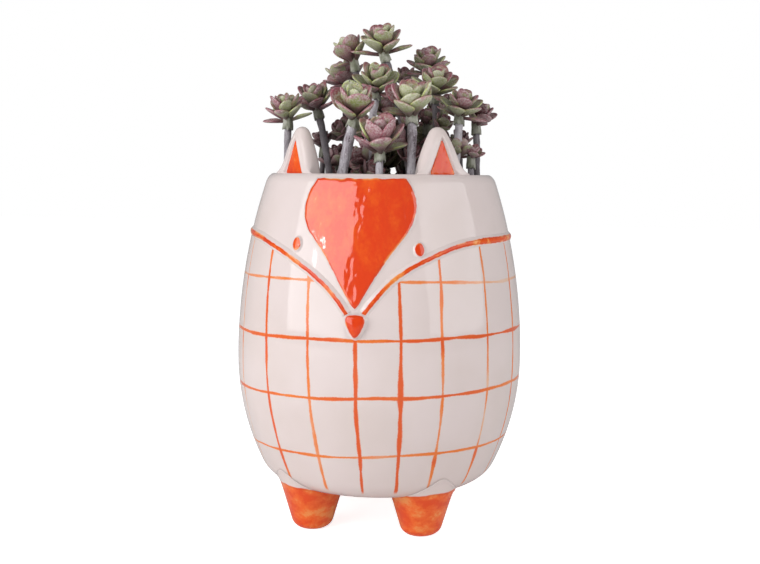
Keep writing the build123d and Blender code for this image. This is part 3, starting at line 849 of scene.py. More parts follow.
def make_brow(material):
    """A soft bead from one side of the nose, round the pot's back, to the nose's other side."""
    weighted = [(turn, height * BROW_RISE_WEIGHT) for turn, height in BROW_LINE]
    line = rounded_line(weighted, 520)
    line = [(math.radians(turn), height / (1000 * BROW_RISE_WEIGHT)) for turn, height in line]
    points, insets = [], []
    top, back = np.linspace(-1, 1, 17), (0.9, -0.9)
    for index, (turn, height) in enumerate(line):
        before = line[max(index - 1, 0)]
        after = line[min(index + 1, len(line) - 1)]
        radius = crown_radius(height)
        along = Vector(((after[0] - before[0]) * radius, after[1] - before[1])).normalized()
        fade = min(1.0, (min(index, len(line) - 1 - index) + 2) / 6)
        paint = BROW_PAINT_THIN
        paint += (BROW_PAINT_WIDE - BROW_PAINT_THIN) * float(smooth(0.2, 0.55, 1 - math.cos(turn)))
        heights = [BROW_RELIEF * (1 - share**2) ** 1.6 * fade - 0.00003 for share in top]
        insets += [paint - abs(share + 0.1) * BROW_HALF_WIDTH for share in top] + [-0.001] * len(back)
        for share, standout in zip((*top, *back), heights + [-BACK_SINK] * len(back)):
            reach = share * BROW_HALF_WIDTH
            points.append(turned_on_pot(turn - along.y * reach / radius, height + along.x * reach, standout))
    faces = tube_faces(len(line), len(top) + len(back))
    piece = outward(mesh_object("brushed_brow", points, faces, {"inset": insets}))
    return finish_piece(piece, "pot", "brushed_glaze", material, "brow_ridge")


EAR_TIP_HEIGHT = EAR_RISE - EAR_TIP_ROUND
EAR_ARC = (EAR_HALF_WIDTH**2 + EAR_TIP_HEIGHT**2 - EAR_TIP_ROUND**2) / (
    2 * (EAR_HALF_WIDTH * math.cos(EAR_SPLAY) - EAR_TIP_HEIGHT * math.sin(EAR_SPLAY) - EAR_TIP_ROUND)
)


def ear_half_width(rise):
    """Half the ear's width at a height: a rounded underside, splayed flanks and a round tip."""
    if rise < 0:
        return EAR_HALF_WIDTH * math.sqrt(max(1 - (rise / EAR_ROOT) ** 2, 0))
    arch_x, arch_z = EAR_HALF_WIDTH - EAR_ARC * math.cos(EAR_SPLAY), -EAR_ARC * math.sin(EAR_SPLAY)
    meet = arch_z + (EAR_TIP_HEIGHT - arch_z) * EAR_ARC / (EAR_ARC - EAR_TIP_ROUND)
    if rise > meet:
        return math.sqrt(max(EAR_TIP_ROUND**2 - (rise - EAR_TIP_HEIGHT) ** 2, 0))
    return arch_x + math.sqrt(EAR_ARC**2 - (rise - arch_z) ** 2)


def ear_turned(side):
    """The turn that takes the nose's direction to an ear's, up at the rim."""
    return Matrix.Rotation(side * EAR_TURN, 4, "Z") @ Matrix.Translation((0, 0, RIM_HEIGHT))


def ear_front(rise):
    """The Y of the ear's flat front, before the ear is turned, at a height over the rim."""
    return -EAR_FRONT_RADIUS + rise * math.tan(EAR_FRONT_LEAN)


def inlay_depth(x, rise):
    """How far a point of the ear's front lies inside the triangle."""
    apex = INLAY_GAP + INLAY_RISE
    slope = math.hypot(INLAY_HALF_WIDTH, INLAY_RISE)
    flank = ((apex - rise) * INLAY_HALF_WIDTH - abs(x) * INLAY_RISE) / slope
    return min(flank, rise - INLAY_GAP)


def ear_carving(x, rise):
    """The front's relief: a bead round a sunk triangle."""
    depth = inlay_depth(x, rise)
    bead = 0.0004 * math.exp(-(((depth + 0.0011) / 0.0007) ** 2))
    sunk = INLAY_RECESS * float(smooth(-0.0004, 0.0003, depth))
    return sunk - bead


def make_ear(side, side_name, material):
    rises = list(EAR_RISE - (EAR_RISE - 0.005) * (1 - np.cos(np.linspace(0, math.pi / 2, 52)))[:-1])
    rises += list(np.linspace(0.005, 0, 26)[:-1]) + list(-EAR_ROOT * np.sin(np.linspace(0, math.pi / 2, 14)))
    columns = 150
    points = []
    stand = ear_turned(side)
    for rise in rises:
        width = ear_half_width(rise)
        for index in range(columns):
            turn = 2 * math.pi * index / columns
            x, y = width * math.cos(turn), EAR_DEPTH_SHARE * width * math.sin(turn)
            back = y * math.cos(EAR_LEAN) + rise * math.sin(EAR_LEAN) - EAR_AXIS_RADIUS
            up = rise * math.cos(EAR_LEAN) - y * math.sin(EAR_LEAN)
            front = ear_front(up)
            soft = EAR_EDGE_ROUND
            blend = max(soft - abs(back - front), 0) / soft
            on_front = float(smooth(front + soft * 0.4, front - soft * 0.4, back))
            back = max(back, front) + blend**2 * soft / 4 + on_front * ear_carving(x, up)
            lift = float(smooth(-0.0015, 0.0, up)) * math.exp(-max(up, 0) / 0.0019)
            lift *= float(smooth(0.45, 0.95, abs(x) / max(width, 1e-6)))
            lift *= float(smooth(0.0075, 0.003, back - front))
            wide = x + math.copysign(EAR_FLARE * lift, x)
            rim = -math.sqrt((RIM_RADIUS - 0.0021) ** 2 - wide**2)
            points.append(stand @ Vector((wide, back + (rim - back) * min(lift * 1.3, 1.0), up)))
    piece = outward(mesh_object("glazed_ear_" + side_name, points, grid_faces(len(rises), columns)))
    return finish_piece(piece, "pot", "white_glaze", material, "ear_" + side_name)


def rounded_corners(corners, radius, per_side, per_corner):
    """The points round a polygon with rounded corners, taken anticlockwise."""
    points = []
    count = len(corners)
    corners = [np.array(corner) for corner in corners]
    for index, corner in enumerate(corners):
        before, after = corners[index - 1], corners[(index + 1) % count]
        into = (corner - before) / np.linalg.norm(corner - before)
        away = (after - corner) / np.linalg.norm(after - corner)
        bend = math.acos(float(into @ away))
        reach = radius * math.tan(bend / 2)
        centre = corner - into * reach + np.array((-into[1], into[0])) * radius
        start = math.atan2(*(corner - into * reach - centre)[::-1])
        for step in range(per_corner + 1):
            turn = start + bend * step / per_corner
            points.append(centre + radius * np.array((math.cos(turn), math.sin(turn))))
        following = corners[(index + 2) % count]
        onward = (following - after) / np.linalg.norm(following - after)
        finish = after - away * radius * math.tan(math.acos(float(away @ onward)) / 2)
        begin = points[-1]
        points += [begin + (finish - begin) * step / per_side for step in range(1, per_side)]
    return points


def make_inner_ear(side, side_name, material):
    """The coloured triangle in the ear's front, slightly pillowed."""
    stand = ear_turned(side)
    corners = [(INLAY_HALF_WIDTH, INLAY_GAP), (0, INLAY_GAP + INLAY_RISE), (-INLAY_HALF_WIDTH, INLAY_GAP)]
    outline = rounded_corners(corners, INLAY_CORNER, 22, 6)

    def on_ear(across, up, standout):
        return stand @ Vector((across, ear_front(up) + INLAY_RECESS + 0.0001 - standout, up))

    name = "inner_ear_" + side_name
    piece = relief_patch("orange_" + name, outline, 0.0003, 0.0004, 0.0005, 14, on_ear, -0.0002)
    return finish_piece(piece, "pot", "orange_glaze", material, name)


def make_foot(side, end, name, material):
    """A rounded cone that spreads softly into the pot's underside."""
    centre = Vector((side * FOOT_ACROSS / 2, end * FOOT_ALONG / 2, 0))
    segments, rows = 72, 40

    def radius_at(z):
        plain = FOOT_SOLE_RADIUS + FOOT_FLARE_SHARE * z
        if z < FOOT_EDGE_ROUND:
            plain -= FOOT_EDGE_ROUND - math.sqrt(FOOT_EDGE_ROUND**2 - (FOOT_EDGE_ROUND - z) ** 2)
        return plain

    points = []
    for row in range(rows):
        for index in range(segments):
            turn = 2 * math.pi * index / segments
            way = Vector((math.cos(turn), math.sin(turn), 0))
            low, high = BASE_HEIGHT * 0.8, BASE_HEIGHT + 0.014
            for _ in range(26):
                middle = (low + high) / 2
                where = centre + way * radius_at(middle)
                inside = middle > underside(where.xy.length) + 0.0004
                low, high = (low, middle) if inside else (middle, high)
            z = low * (1 - math.cos(math.pi / 2 * row / (rows - 1))) ** 0.8
            spread = 0.0009 * math.exp(-(low - z) / 0.0016)
            wave = 1 + 0.012 * math.sin(3 * turn + side) + 0.008 * math.sin(2 * turn + end)
            point = centre + way * (radius_at(z) * wave + spread)
            points.append(Vector((point.x, point.y, z)))
    faces = grid_faces(rows, segments)
    points.append(Vector((centre.x, centre.y, 0)))
    points.append(Vector((centre.x, centre.y, BASE_HEIGHT + 0.0004)))
    last = (rows - 1) * segments
    for index in range(segments):
        on = (index + 1) % segments
        faces.append((on, index, len(points) - 2))
        faces.append((last + index, last + on, len(points) - 1))
    piece = outward(mesh_object("glazed_" + name, points, faces))
    return finish_piece(piece, "pot", "foot_glaze", material, name)


def arc_through(start, middle, end, count):
    """Points of the circle's arc through three points, and its direction at the end."""
    a, b = middle - start, end - start
    normal = a.cross(b).normalized()
    mid_a, mid_b = (start + middle) / 2, (start + end) / 2
    way_a, way_b = normal.cross(a).normalized(), normal.cross(b).normalized()
    gap = mid_b - mid_a
    share = gap.cross(way_b).dot(way_a.cross(way_b)) / way_a.cross(way_b).length_squared
    centre = mid_a + way_a * share
    arm = start - centre
    total = arm.angle(end - centre)
    points = [centre + Matrix.Rotation(total * i / count, 3, normal) @ arm for i in range(count + 1)]
    return points, normal.cross(end - centre).normalized()


def stem_line(plant, count=60):
    """The stem's line from its root in the foam to its end under the rosette."""
    root_x, root_y, head_x, head_y, height, bow_x, bow_y = plant[:7]
    root = Vector((root_x * mouth_radius, root_y * mouth_radius, DRESSING_TOP - STEM_SINK))
    end = Vector((head_x * mouth_radius, head_y * mouth_radius, RIM_HEIGHT + height * TALLEST_PLANT))
    middle = (root + end) / 2 + Vector((bow_x * mouth_radius, bow_y * mouth_radius, 0))
    return arc_through(root, middle, end, count)


class Growth:
    """A geometry node tree with named inputs."""

    def __init__(self, name, **inputs):
        self.tree = bpy.data.node_groups.new(name, "GeometryNodeTree")
        self.tree.interface.new_socket("Geometry", in_out="INPUT", socket_type="NodeSocketGeometry")
        kinds = {float: "NodeSocketFloat", int: "NodeSocketInt", bpy.types.Object: "NodeSocketObject",
                 bpy.types.Material: "NodeSocketMaterial"}
        for key, value in inputs.items():
            kind = next(kinds[k] for k in kinds if isinstance(value, k))
            socket = self.tree.interface.new_socket(key, in_out="INPUT", socket_type=kind)
            if isinstance(value, (int, float)):
                socket.default_value = value
        self.tree.interface.new_socket("Geometry", in_out="OUTPUT", socket_type="NodeSocketGeometry")
        self.source = self.tree.nodes.new("NodeGroupInput")
        self.sink = self.tree.nodes.new("NodeGroupOutput")

    def add(self, kind, settings=None, **inputs):
        """A node with its settings and its inputs, each linked or written."""
        node = self.tree.nodes.new(kind)
        for key, value in (settings or {}).items():
            setattr(node, key, value)
        for key, value in inputs.items():
            numbered = key[0] == "i" and key[1:].isdigit()
            self.put(node.inputs[int(key[1:]) if numbered else key.replace("_", " ")], value)
        return node

    def put(self, socket, value):
        if isinstance(value, bpy.types.NodeSocket):
            self.tree.links.new(value, socket)
        else:
            socket.default_value = value

    def math(self, operation, *values):
        node = self.add("ShaderNodeMath", {"operation": operation})
        for socket, value in zip(node.inputs, values):
            self.put(socket, value)
        return node.outputs[0]

    def times(self, first, second):
        return self.math("MULTIPLY", first, second)

    def plus(self, first, second):
        return self.math("ADD", first, second)

    def minus(self, first, second):
        return self.math("SUBTRACT", first, second)

    def store(self, geometry, name, value, domain="POINT"):
        """The geometry with a number kept on it under a name."""
        return self.add("GeometryNodeStoreNamedAttribute", {"data_type": "FLOAT", "domain": domain},
                        Geometry=geometry, Name=name, Value=value).outputs[0]

    def finish(self, geometry, material):
        """Sets the material and ends the tree."""
        dressed = self.add("GeometryNodeSetMaterial", Geometry=geometry, Material=material)
        self.put(self.sink.inputs[0], dressed.outputs[0])
        return self

    def chance(self, low, high, seed, salt):
        """A random number for each point."""
        node = self.add("FunctionNodeRandomValue", {"data_type": "FLOAT"})
        self.put(node.inputs[2], low)
        self.put(node.inputs[3], high)
        self.put(node.inputs["Seed"], self.plus(seed, float(salt)))
        return node.outputs[1]

    def grown(self, host, name, **values):
        """The plain mesh that the tree makes of a host object, in a new object at the origin."""
        modifier = host.modifiers.new("growth", "NODES")
        modifier.node_group = self.tree
        for item in self.tree.interface.items_tree:
            if item.item_type == "SOCKET" and item.in_out == "INPUT" and item.name in values:
                modifier[item.identifier] = values[item.name]
        bpy.context.view_layer.update()
        graph = bpy.context.evaluated_depsgraph_get()
        mesh = bpy.data.meshes.new_from_object(host.evaluated_get(graph), depsgraph=graph)
        host.modifiers.remove(modifier)
        mesh.name = name
        return placed(name, mesh)


# Metres between the rings of bark along a stem, and how far its folds reach
BARK_STEP = 0.0007
BARK_DEPTH = 0.0011


def bark_tree():
    """Bark round a line: uneven girth, knobs and long folds."""
    growth = Growth("Bark round a line", Girth=0.002, Seed=1.0, Age=0.0, Bark=bpy.data.materials["bark_skin"])
    inputs = growth.source.outputs
    solid_noise = {"noise_dimensions": "4D"}
    line = growth.add("GeometryNodeMeshToCurve", Mesh=inputs["Geometry"]).outputs[0]
    line = growth.add("GeometryNodeResampleCurve", {"mode": "LENGTH"}, Curve=line, Length=BARK_STEP)
    place = growth.add("GeometryNodeInputPosition").outputs[0]
    swell = growth.add("ShaderNodeTexNoise", solid_noise, Vector=place, W=inputs["Seed"], Scale=130.0)
    girth = growth.times(inputs["Girth"], growth.plus(0.78, growth.times(swell.outputs[0], 0.4)))
    ring = growth.add("GeometryNodeCurvePrimitiveCircle", Resolution=20, Radius=1.0).outputs[0]
    tube = growth.add("GeometryNodeCurveToMesh", Curve=line.outputs[0], Profile_Curve=ring,
                      Scale=girth, Fill_Caps=True)
    squash = growth.add("ShaderNodeVectorMath", {"operation": "MULTIPLY"}, i0=place, i1=(1.0, 1.0, 0.3))
    skin = growth.add("ShaderNodeTexNoise", solid_noise, Vector=squash.outputs[0], W=inputs["Seed"],
                      Scale=520.0, Detail=3.0)
    depth = growth.times(growth.minus(skin.outputs[0], 0.55), BARK_DEPTH)
    normal = growth.add("GeometryNodeInputNormal").outputs[0]
    push = growth.add("ShaderNodeVectorMath", {"operation": "SCALE"}, i0=normal, Scale=depth)
    bark = growth.add("GeometryNodeSetPosition", Geometry=tube.outputs[0], Offset=push.outputs[0])
    smooth_bark = growth.add("GeometryNodeSetShadeSmooth", Geometry=bark.outputs[0])
    # Keeps the stem's painted shade on the bark for its material.
    return growth.finish(growth.store(smooth_bark.outputs[0], "age", inputs["Age"]), inputs["Bark"])


def make_stem(name, plant, growth, material, index):
    points, _ = stem_line(plant)
    mesh = bpy.data.meshes.new("line")
    mesh.from_pydata([tuple(p) for p in points], [(i, i + 1) for i in range(len(points) - 1)], [])
    host = placed("line_" + name, mesh)
    # Painted shade for the bark: the further back the stem's root, the darker.
    age = float(np.clip((plant[1] + 0.4) / 0.8, 0, 1))
    piece = growth.grown(host, "bark_stem_" + name, Girth=STEM_RADIUS * plant[8], Seed=float(index), Age=age,
                         Bark=material)
    bpy.data.objects.remove(host)
    return finish_piece(piece, "planting", "bark", None, "stem_" + name)


def make_leaf():
    """One leaf of length 1 along +X: a thick spoon, broadest past its middle, with a round tip."""
    rows, around = 17, 16
    curl = math.radians(30)
    points, across, along, inner = [], [], [], []
    for row in range(rows):
        t = 1 - (1 - row / (rows - 1)) ** 1.5
        broad = 0.24 + 0.76 * math.sin(min(t / 0.68, 1) * math.pi / 2) ** 1.7
        round_tip = math.sqrt(max(1 - (max(t - 0.56, 0) / 0.44) ** 2.4, 0))
        half = 0.5 * broad * max(round_tip, 0.05)
        thick = 0.5 * (1.0 - 0.25 * t) * math.sqrt(max(1 - (max(t - 0.6, 0) / 0.4) ** 2.2, 0.012))
        bend = curl * t
        centre = Vector((t * math.cos(bend / 2), 0, t * math.sin(bend / 2)))
        lift = Vector((-math.sin(bend), 0, math.cos(bend)))
        for index in range(around):
            angle = 2 * math.pi * index / around
            side, up = math.cos(angle), math.sin(angle)
            cup = 0.5 * half * side**2 * math.sin(math.pi * min(t, 1) * 0.9)
            cup += 0.022 * side**4 * math.sin(17 * t + (2 if side > 0 else 0))
            hollow = 0.35 if up > 0 else 1.0
            points.append(centre + Vector((0, side * half, 0)) + lift * (up * thick * hollow + cup))
            across.append(abs(side))
            along.append(t)
            inner.append(max(up, 0.0))
    attributes = {"across": across, "along": along, "inner": inner}
    return mesh_object("leaf_form", points, tube_faces(rows, around), attributes)


# Whorls: leaves, height share, rise and turn in degrees, length, width and thickness shares
HABITS = {
    "open": ((5, 0.10, 33, 0, 1.0, 0.76, 0.25), (5, 0.26, 54, 36, 0.90, 0.70, 0.25),
             (5, 0.42, 73, 12, 0.68, 0.50, 0.24), (2, 0.02, 8, 25, 1.06, 0.50, 0.22)),
    "cup": ((4, 0.09, 43, 0, 1.0, 0.82, 0.25), (4, 0.21, 62, 45, 1.0, 0.78, 0.25),
            (4, 0.36, 77, 10, 0.82, 0.56, 0.24), (1, 0.02, 4, 25, 0.9, 0.5, 0.22)),
    "bud": ((5, 0.12, 38, 0, 0.96, 0.76, 0.25), (4, 0.32, 62, 33, 0.80, 0.64, 0.25),
            (3, 0.44, 76, 80, 0.6, 0.42, 0.24), (0, 0.02, 4, 25, 1.0, 0.5, 0.22)),
}

# Side shoots in the bunch's middle, darkened there by painted shade, on the plants that carry them: the share
# of the stem's length, the way that the shoot leans in degrees, its size and its blush as shares
SHOOTS = {
    "mid_deep": ((0.62, 285, 1.0, 0.0), (0.78, 320, 0.95, 0.1), (0.5, 240, 0.95, 0.8),
                 (0.43, 330, 0.8, 1.0)),
    "back_centre": ((0.62, 250, 1.05, 0.15), (0.78, 290, 0.95, 0.5), (0.88, 205, 0.9, 0.9),
                    (0.5, 210, 1.0, 0.9), (0.4, 300, 1.0, 1.0)),
    "centre": ((0.66, 340, 0.75, 0.0), (0.54, 190, 0.85, 1.0), (0.44, 320, 0.8, 0.9)),
    "upper_left": ((0.74, 300, 0.75, 0.5), (0.6, 240, 0.85, 0.8), (0.5, 320, 0.9, 1.0),
                   (0.42, 230, 0.85, 1.0)),
    "left_centre": ((0.66, 250, 0.9, 0.9), (0.5, 300, 0.9, 1.0), (0.4, 250, 0.8, 1.0)),
    "left_mid": ((0.6, 60, 0.7, 0.9),),
    "right_upper": ((0.6, 225, 1.0, 0.2), (0.74, 320, 0.95, 0.3), (0.5, 195, 0.95, 0.9)),
    "back_mid": ((0.72, 290, 1.0, 0.7), (0.58, 210, 0.95, 0.9), (0.86, 235, 0.95, 0.4)),
    "deep_right": ((0.72, 240, 0.8, 0.1),),
    "right_mid": ((0.62, 250, 0.75, 0.6), (0.76, 330, 0.75, 0.5), (0.48, 190, 0.8, 0.9)),
    "right_low": ((0.7, 60, 0.75, 0.8),),
    "top": ((0.52, 215, 0.85, 0.8), (0.62, 330, 0.85, 0.4), (0.43, 300, 0.85, 1.0)),
    "low_centre": ((0.62, 300, 0.9, 0.9),),
    "back_left": ((0.5, 320, 0.9, 1.0),),
    "back_right": ((0.5, 200, 0.8, 0.9),),
}


WHORLS = (1, 2, 3, 4)
SEAT_RADIUS = 0.09


def rosette_tree(leaf):
    """Up to four whorls of leaves round an upright axis."""
    inputs = {"Leaf": leaf, "Seed": 1.0, "Blush": 0.5, "Deep": 0.0, "Skin": bpy.data.materials["leaf_skin"]}
    for whorl in WHORLS:
        inputs.update({f"Leaves {whorl}": 5, f"Height {whorl}": 0.1, f"Rise {whorl}": 0.3,
                       f"Turn {whorl}": 0.0, f"Length {whorl}": 1.0, f"Width {whorl}": 0.7,
                       f"Thickness {whorl}": 0.2})
    growth = Growth("Rosette of leaves", **inputs)
    source = growth.source.outputs
    leaf_mesh = growth.add("GeometryNodeObjectInfo", Object=source["Leaf"]).outputs["Geometry"]
    join = growth.add("GeometryNodeJoinGeometry")
    for whorl in WHORLS:
        def given(key):
            return source[f"{key} {whorl}"]

        def chance(low, high, salt):
            return growth.chance(low, high, source["Seed"], whorl * 10 + salt)

        dots = growth.add("GeometryNodePoints", Count=given("Leaves")).outputs[0]
        index = growth.add("GeometryNodeInputIndex").outputs[0]
        step = growth.math("DIVIDE", math.tau, given("Leaves"))
        turn = growth.plus(growth.plus(growth.times(index, step), given("Turn")), chance(-0.16, 0.16, 0))
        rise = growth.plus(given("Rise"), chance(-0.13, 0.13, 1))
        size = chance(0.9, 1.1, 2)
        seat = growth.add("ShaderNodeCombineXYZ", X=growth.times(growth.math("COSINE", turn), SEAT_RADIUS),
                          Y=growth.times(growth.math("SINE", turn), SEAT_RADIUS),
                          Z=growth.plus(given("Height"), chance(-0.03, 0.03, 3)))
        dots = growth.add("GeometryNodeSetPosition", Geometry=dots, Position=seat.outputs[0]).outputs[0]
        roll = chance(-0.22, 0.22, 4)
        angles = growth.add("ShaderNodeCombineXYZ", X=roll, Y=growth.times(rise, -1.0), Z=turn)
        rotation = growth.add("FunctionNodeEulerToRotation", Euler=angles.outputs[0])
        scale = growth.add("ShaderNodeCombineXYZ", X=growth.times(given("Length"), size),
                           Y=growth.times(given("Width"), size), Z=given("Thickness"))
        leaves = growth.add("GeometryNodeInstanceOnPoints", Points=dots, Instance=leaf_mesh,
                            Rotation=rotation.outputs[0], Scale=scale.outputs[0])
        toned = growth.store(leaves.outputs[0], "tone", chance(0.0, 1.0, 5), "INSTANCE")
        growth.tree.links.new(toned, join.inputs[0])
    whole = growth.add("GeometryNodeRealizeInstances", Geometry=join.outputs[0])
    blushed = growth.store(whole.outputs[0], "blush", source["Blush"])
    # Keeps the rosette's painted shade for its material.
    return growth.finish(growth.store(blushed, "deep", source["Deep"]), source["Skin"])


COLLAR_CLEARANCE = 0.00015
COLLAR_WALL = 0.00045


def collar_mesh(girth, seed):
    """A sleeve with a ragged lower edge, and the neck that the leaves stand on, as points and faces."""
    segments = 28
    bore = STEM_RADIUS * girth + COLLAR_CLEARANCE
    outside = bore + COLLAR_WALL
    ragged = np.random.default_rng(seed).uniform(-0.0009, 0.0009, segments)
    ragged = (ragged + np.roll(ragged, 1)) / 2
    profile = [(bore, 0.0), (bore, -SLEEVE_GRIP), (outside + 0.0002, -SLEEVE_GRIP),
               (outside + 0.0001, -0.6 * SLEEVE_GRIP), (outside - 0.0001, -0.2 * SLEEVE_GRIP),
               (outside - 0.0001, 0.0006), (outside * 0.86, 0.0022), (outside * 0.70, 0.0038),
               (outside * 0.5, 0.0052), (outside * 0.24, 0.0060)]
    points = []
    for row, (radius, height) in enumerate(profile):
        for index in range(segments):
            turn = math.tau * index / segments
            drop = ragged[index] if row in (1, 2) else 0.0
            fold = 1 + 0.05 * math.sin(5 * turn + seed) * (1 if row in (3, 4, 5) else 0)
            x, y = radius * fold * math.cos(turn), radius * fold * math.sin(turn)
            points.append(Vector((x, y, height + drop)))
    return points, tube_faces(len(profile), segments)


def upright_on(axis, side=None):
    """A turn that takes +Z to an axis."""
    z = axis.normalized()
    x = (side or z.orthogonal()).normalized()
    x = (x - z * x.dot(z)).normalized()
    return Matrix((x, z.cross(x), z)).transposed().to_4x4()


def grow_rosette(name, growth, habit, index, **values):
    """One rosette of radius 1 on an upright axis."""
    for whorl, (count, up, rise, turn, length, width, thick) in enumerate(HABITS[habit], 1):
        values.update({f"Leaves {whorl}": count, f"Height {whorl}": up, f"Rise {whorl}": math.radians(rise),
                       f"Turn {whorl}": math.radians(turn + index * 47), f"Length {whorl}": length,
                       f"Width {whorl}": width, f"Thickness {whorl}": thick})
    host = mesh_object("rosette_host", [(0, 0, 0)], [])
    piece = growth.grown(host, name, Seed=float(index * 7 + 3), **values)
    bpy.data.objects.remove(host)
    return piece


def tipped(seat, way, tip, size):
    """The place of a rosette whose axis tips over by an angle, both in degrees."""
    lean = Vector((math.cos(math.radians(way)), math.sin(math.radians(way)), 0))
    axis = Vector((0, 0, 1)) * math.cos(math.radians(tip)) + lean * math.sin(math.radians(tip))
    return Matrix.Translation(seat) @ upright_on(axis, lean.cross(Vector((0, 0, 1)))) @ Matrix.Scale(size, 4)


def depth_in_bunch(plant):
    """How deep in the bunch a rosette sits, for its painted shade, from 0 to 1: further back and lower is
    deeper.
    """
    return float(np.clip((plant[3] + 0.35) * (1.25 - plant[4]), 0, 1))


def make_head(name, plant, growth, leaf, skin, collar_material, index):
    _, way = stem_line(plant)
    head_x, head_y, height = plant[2:5]
    size, girth, tip_way, tip, habit, blush = plant[7:13]
    seat = Vector((head_x * mouth_radius, head_y * mouth_radius, RIM_HEIGHT + height * TALLEST_PLANT))
    # How much painted shade darkens this rosette and its collar.
    deep = depth_in_bunch(plant)
    piece = grow_rosette("rosette_" + name, growth, habit, index, Leaf=leaf, Blush=blush, Deep=deep,
                         Skin=skin)
    piece.data.transform(tipped(seat, tip_way, tip, HEAD_RADIUS * size))
    points, faces = collar_mesh(girth, index)
    sleeve = Matrix.Translation(seat) @ upright_on(way)
    points = [sleeve @ point for point in points]
    collar = outward(mesh_object("collar", points, faces, {"deep": [deep] * len(points)}))
    collar.data.materials.append(collar_material)
    return joined(piece, collar)


# How far a side shoot tips over from upright in degrees, and its radius
SHOOT_TIP = 42
SHOOT_RADIUS = 0.0102


def make_shoots(name, growth, leaf, skin, index):
    """The small rosettes that stand out from the side of one stem, dark with painted shade."""
    points, _ = stem_line(PLANTS[name])
    # Side shoots get more painted shade than their stem's rosette.
    values = {"Leaf": leaf, "Skin": skin, "Deep": min(0.95, 0.42 + 0.7 * depth_in_bunch(PLANTS[name]))}
    whole = None
    for order, (share, way, size, blush) in enumerate(SHOOTS[name]):
        shoot = grow_rosette("shoot", growth, "cup", index * 5 + order + 40, Blush=blush, **values)
        seat = points[round(share * (len(points) - 1))]
        shoot.data.transform(tipped(seat, way, SHOOT_TIP, SHOOT_RADIUS * size))
        whole = joined(whole, shoot) if whole else shoot
    whole.name = "side_shoots_" + name
    return finish_piece(whole, "planting", "succulent", None)


def joined(first, second):
    """The first object with the second's mesh added, each part with its own material."""
    with bpy.context.temp_override(active_object=first, object=first, selected_objects=[first, second],
                                   selected_editable_objects=[first, second]):
        bpy.ops.object.join()
    return first


STONE_RADIUS = 0.00125
STONE_GAP = 0.0019
STONE_DENSITY = 400000.0


def gravel_tree():
    """Small stones spread over the top of a layer."""
    growth = Growth("Loose stones", Gap=STONE_GAP, Seed=4, Stone=bpy.data.materials["stone_skin"])
    source = growth.source.outputs
    normal = growth.add("GeometryNodeInputNormal").outputs[0]
    up = growth.add("ShaderNodeSeparateXYZ", Vector=normal).outputs[2]
    greater = {"data_type": "FLOAT", "operation": "GREATER_THAN"}
    upward = growth.add("FunctionNodeCompare", greater, i0=up, i1=0.9)
    dots = growth.add("GeometryNodeDistributePointsOnFaces", {"distribute_method": "POISSON"},
                      Mesh=source["Geometry"], Selection=upward.outputs[0], Distance_Min=source["Gap"],
                      Density_Max=STONE_DENSITY, Seed=source["Seed"])
    stone = growth.add("GeometryNodeMeshIcoSphere", Radius=STONE_RADIUS, Subdivisions=2).outputs[0]
    vectors = {"data_type": "FLOAT_VECTOR"}
    turn = growth.add("FunctionNodeRandomValue", vectors, i1=(6.28, 6.28, 6.28))
    scale = growth.add("FunctionNodeRandomValue", vectors, i0=(0.65, 0.65, 0.5), i1=(1.15, 1.05, 0.85),
                       Seed=9)
    stones = growth.add("GeometryNodeInstanceOnPoints", Points=dots.outputs[0], Instance=stone,
                        Rotation=turn.outputs[0], Scale=scale.outputs[0])
    whole = growth.add("GeometryNodeRealizeInstances", Geometry=stones.outputs[0])
    rounded = growth.add("GeometryNodeSetShadeSmooth", Geometry=whole.outputs[0])
    return growth.finish(rounded.outputs[0], source["Stone"])


def cad_material(node, material):
    """A better material on a CAD node."""
    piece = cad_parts[node]
    piece.data.materials.clear()
    piece.data.materials.append(material)


# Studio: the camera's turn to the right of the face in degrees, and the share of white that lights the object
CAMERA_TURN = 10
WORLD_LIGHT = 0.34
FLOOR_GLOW = 0.78


def make_camera():
    distance, pitch, roll = 0.5186, math.radians(5.737), math.radians(0.6)
    yaw = math.radians(CAMERA_TURN)
    data = bpy.data.cameras.new("camera")
    data.lens = 50.92
    data.sensor_width = 36.0
    camera = placed("camera", data)
    tilt = Matrix.Rotation(math.pi / 2 - pitch, 4, "X") @ Matrix.Rotation(roll, 4, "Z")
    stand = Matrix.Translation((distance * math.sin(yaw), -distance * math.cos(yaw), RIM_HEIGHT))
    camera.matrix_world = stand @ Matrix.Rotation(yaw, 4, "Z") @ tilt
    bpy.context.scene.camera = camera


def area_lamp(name, turn, rise, distance, width, height, strength):
    """A soft box that faces the pot: its turn is from the camera's side, to the viewer's right."""
    azimuth, elevation = math.radians(turn + CAMERA_TURN), math.radians(rise)
    level = math.cos(elevation)
    way = Vector((math.sin(azimuth) * level, -math.cos(azimuth) * level, math.sin(elevation)))
    data = bpy.data.lights.new(name, "AREA")
    data.shape = "RECTANGLE"
    data.size, data.size_y = width, height
    data.energy = strength * math.pi * width * height
    stand = Matrix.Translation(Vector((0, 0, 0.11)) + way * distance)
    placed(name, data).matrix_world = stand @ upright_on(way, Vector((0, 0, 1)).cross(way))


def make_world():
    """White to the camera and through anything clear, and an even dimmer light on the object."""
    world = bpy.data.worlds.new("studio")
    bpy.context.scene.world = world
    world.use_nodes = True
    nodes, links = world.node_tree.nodes, world.node_tree.links
    path = nodes.new("ShaderNodeLightPath")
    seen = nodes.new("ShaderNodeMath")
    seen.operation = "MAXIMUM"
    links.new(path.outputs["Is Camera Ray"], seen.inputs[0])
    links.new(path.outputs["Is Transmission Ray"], seen.inputs[1])
    share = nodes.new("ShaderNodeMapRange")
    share.inputs["To Min"].default_value = WORLD_LIGHT
    links.new(seen.outputs[0], share.inputs["Value"])
    background = nodes["Background"]
    background.inputs["Color"].default_value = (1, 1, 1, 1)
    links.new(share.outputs[0], background.inputs["Strength"])


